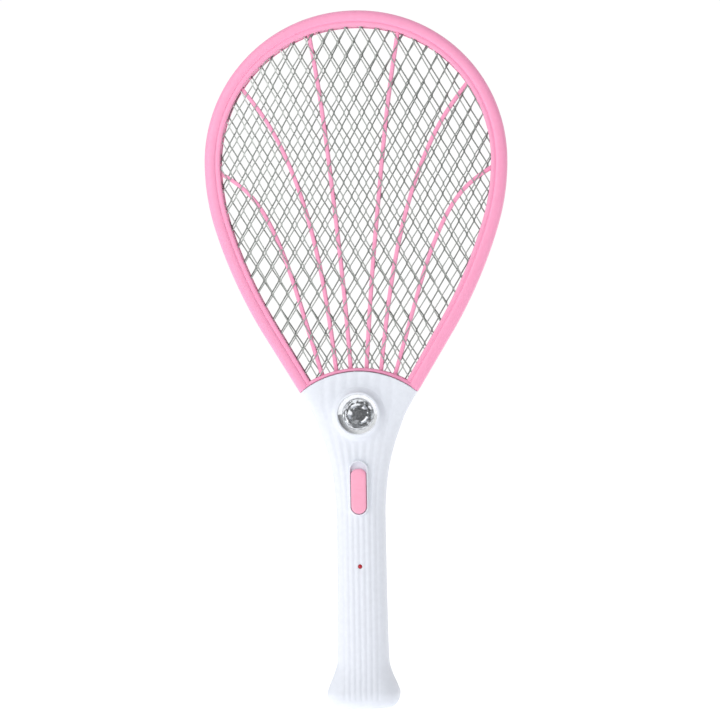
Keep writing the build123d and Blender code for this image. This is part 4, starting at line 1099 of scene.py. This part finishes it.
# Finish of each material slot: low and high colour, roughness range, and other sockets
METAL = {"Metallic": 1.0}
FINISHES = {
    "pink_plastic": ((253, 162, 199), (254, 167, 203), (0.34, 0.42)),
    "white_plastic": ((231, 235, 243), (235, 239, 247), (0.36, 0.44), {"Specular_IOR_Level": 0.25}),
    "cap_plastic": ((252, 170, 197), (253, 175, 202), (0.36, 0.44)),
    "sled_plastic": ((205, 205, 212), (214, 214, 220), (0.45, 0.55)),
    # Wire meshes: the darker steel is painted shade for the centre and rear sheets, and its lighter copy
    # is painted light and reflection for the front sheet
    "mesh_steel": ((126, 131, 127), (150, 154, 150), (0.26, 0.38), METAL),
    "mesh_steel_painted_light": ((156, 161, 157), (176, 180, 176), (0.24, 0.34), METAL),
    "screw_steel": ((150, 152, 156), (176, 178, 182), (0.28, 0.4), METAL),
    "plated_steel": ((176, 178, 182), (196, 198, 202), (0.25, 0.38), METAL),
    "blade_brass": ((206, 186, 128), (220, 200, 146), (0.22, 0.34), METAL),
    "reflector_chrome": ((232, 234, 236), (246, 247, 249), (0.04, 0.08), METAL),
    "clear_lens": ((240, 246, 250), (250, 252, 255), (0.02, 0.04), {"Alpha": 0.05, "IOR": 1.49}),
    "lamp_epoxy": ((28, 30, 33), (46, 49, 51), (0.06, 0.1), {"IOR": 1.5}),
    "red_epoxy": ((170, 20, 34), (196, 30, 44), (0.12, 0.2), {"IOR": 1.5}),
    "circuit_board": ((24, 88, 52), (34, 106, 64), (0.35, 0.5)),
    "switch_black": ((28, 28, 30), (40, 40, 43), (0.4, 0.5)),
    "ferrite": ((58, 56, 58), (74, 72, 74), (0.55, 0.7)),
    "bobbin_plastic": ((232, 224, 200), (240, 233, 212), (0.45, 0.55)),
    "coil_copper": ((186, 104, 58), (208, 124, 74), (0.25, 0.35), METAL),
    "film_yellow": ((214, 178, 60), (228, 192, 76), (0.25, 0.35)),
    "film_red": ((160, 48, 34), (178, 60, 44), (0.25, 0.35)),
    "diode_black": ((30, 30, 32), (42, 42, 44), (0.4, 0.5)),
    "resistor_body": ((206, 186, 146), (220, 200, 162), (0.4, 0.5)),
    "battery_case": ((226, 226, 230), (236, 236, 240), (0.5, 0.6)),
    "foam": ((196, 196, 200), (214, 214, 218), (0.85, 0.95)),
    "wire_red": ((184, 30, 34), (200, 40, 44), (0.4, 0.5)),
    "wire_black": ((26, 26, 28), (38, 38, 40), (0.4, 0.5)),
}
materials = {name: finish(name, *look[:3], **dict(*look[3:])) for name, look in FINISHES.items()}
for part in frame["record"]["subparts"]:
    node = frame["nodes"][part["node"]]
    node.data.materials.clear()
    node.data.materials.append(materials[part["material_slot"]])


# ---- pieces

rim_piece("rim_front", -1, materials["pink_plastic"])
rim_piece("rim_rear", 1, materials["pink_plastic"])
# The front sheet takes the lighter copy of the steel, painted light and reflection; the centre and rear
# sheets the darker one, painted shade
for sheet in SHEETS:
    expanded_sheet(*sheet, materials["mesh_steel" if sheet[1] >= 0 else "mesh_steel_painted_light"])
spacer_piece("rib_spacer_front", -1, materials["pink_plastic"])
spacer_piece("rib_spacer_rear", 1, materials["pink_plastic"])
handle_front_piece(materials["white_plastic"])
handle_rear_piece(materials["white_plastic"])
switch_cap_piece(materials["cap_plastic"])
reflector_piece(materials["reflector_chrome"])
lens_piece(materials["clear_lens"])
lamp_piece(materials["lamp_epoxy"])
indicator_piece(materials["red_epoxy"])


# ---- floor, light and camera

# Surroundings: brightness from the side away from a direction (0) to the side towards it (1), its
# strength, and that of the plain white that the camera sees
SKY_DIRECTION = (0.5, -0.84, 0.2)
SKY = [(0.0, (0.4, 0.4, 0.41)), (0.3, (1.0, 1.0, 1.0)), (0.72, (1.0, 1.0, 1.0)),
       (0.95, (0.13, 0.135, 0.14))]
SKY_STRENGTH = 0.83
WHITE_STRENGTH = 1.02


def stage_floor():
    """Large pale disc just under the racket, from rings of points with radii in metres."""
    level = -0.02
    points = [(0.0, 0.0, level)]
    rings = [0.2, 0.6, 1.5, 4.0, 12.0]
    count = 64
    for radius in rings:
        points += [(x, y, level) for x, y in circle(0, 0, radius / MM, count)]
    index = 1 + np.arange(len(rings) * count).reshape(len(rings), count)
    faces = grid_quads(index, False, True)
    faces += [(0, int(index[0, j]), int(index[0, (j + 1) % count])) for j in range(count)]
    pale = finish("stage_pale", (240, 240, 242), (245, 245, 247), (0.8, 0.9), grain=3.0, bump_grain=60.0,
                  Emission_Color=(1, 1, 1, 1), Emission_Strength=0.55)
    floor = add_object("stage_floor", raw_mesh("floor", points, faces), pale)


def area_light(name, place, target, size, power):
    """Large soft lamp aimed at a point, in metres and watts."""
    light = bpy.data.lights.new(name, "AREA")
    light.shape = "DISK"
    light.size = size
    light.energy = power
    lamp = new_object(name, light)
    lamp.location = place
    lamp.rotation_euler = (Vector(target) - Vector(place)).to_track_quat("-Z", "Y").to_euler()


def studio():
    """Light surroundings, dim in front and behind, with a soft key light from the left front."""
    world = bpy.data.worlds.new("studio")
    bpy.context.scene.world = world
    world.use_nodes = True
    nodes = world.node_tree.nodes
    links = world.node_tree.links
    place = nodes.new("ShaderNodeTexCoord")
    facing = nodes.new("ShaderNodeVectorMath")
    facing.operation = "DOT_PRODUCT"
    facing.inputs[1].default_value = SKY_DIRECTION
    links.new(place.outputs["Generated"], facing.inputs[0])
    share = nodes.new("ShaderNodeMapRange")
    share.inputs["From Min"].default_value = -1.0
    links.new(facing.outputs["Value"], share.inputs["Value"])
    ramp = nodes.new("ShaderNodeValToRGB")
    stops = ramp.color_ramp.elements
    for position, _ in SKY[1:-1]:
        stops.new(position)
    for stop, (position, shade) in zip(stops, SKY):
        stop.position = position
        stop.color = shade + (1.0,)
    links.new(share.outputs["Result"], ramp.inputs["Fac"])
    background = nodes["Background"]
    links.new(ramp.outputs["Color"], background.inputs["Color"])
    background.inputs["Strength"].default_value = SKY_STRENGTH
    white = nodes.new("ShaderNodeBackground")
    white.inputs["Color"].default_value = (1.0, 1.0, 1.0, 1.0)
    white.inputs["Strength"].default_value = WHITE_STRENGTH
    seen = nodes.new("ShaderNodeLightPath")
    mix = nodes.new("ShaderNodeMixShader")
    links.new(seen.outputs["Is Camera Ray"], mix.inputs[0])
    links.new(background.outputs["Background"], mix.inputs[1])
    links.new(white.outputs["Background"], mix.inputs[2])
    links.new(mix.outputs["Shader"], nodes["World Output"].inputs["Surface"])
    area_light("key", (-0.45, -0.8, 0.6), (0, 0, 0.28), 0.7, 2.6)
    bpy.context.scene.view_settings.view_transform = "Standard"


def photo_camera():
    """Camera at the reference's viewing angle, with its slight roll."""
    azimuth = radians(5.0)
    roll = radians(0.94)
    distance = 1.45
    target = Vector((0.001, 0.0, 0.249))
    view = Vector((-sin(azimuth), cos(azimuth), 0.0))
    right = Vector((cos(azimuth), sin(azimuth), 0.0))
    up = Vector((0.0, 0.0, 1.0))
    tilted = right * cos(roll) - up * sin(roll)
    upward = right * sin(roll) + up * cos(roll)
    data = bpy.data.cameras.new("camera")
    data.sensor_width = 36.0
    data.lens = 100.8
    camera = new_object("camera", data)
    turn = Matrix((tilted, upward, -view)).transposed()
    camera.matrix_world = Matrix.Translation(target - view * distance) @ turn.to_4x4()
    bpy.context.scene.camera = camera


stage_floor()
studio()
photo_camera()
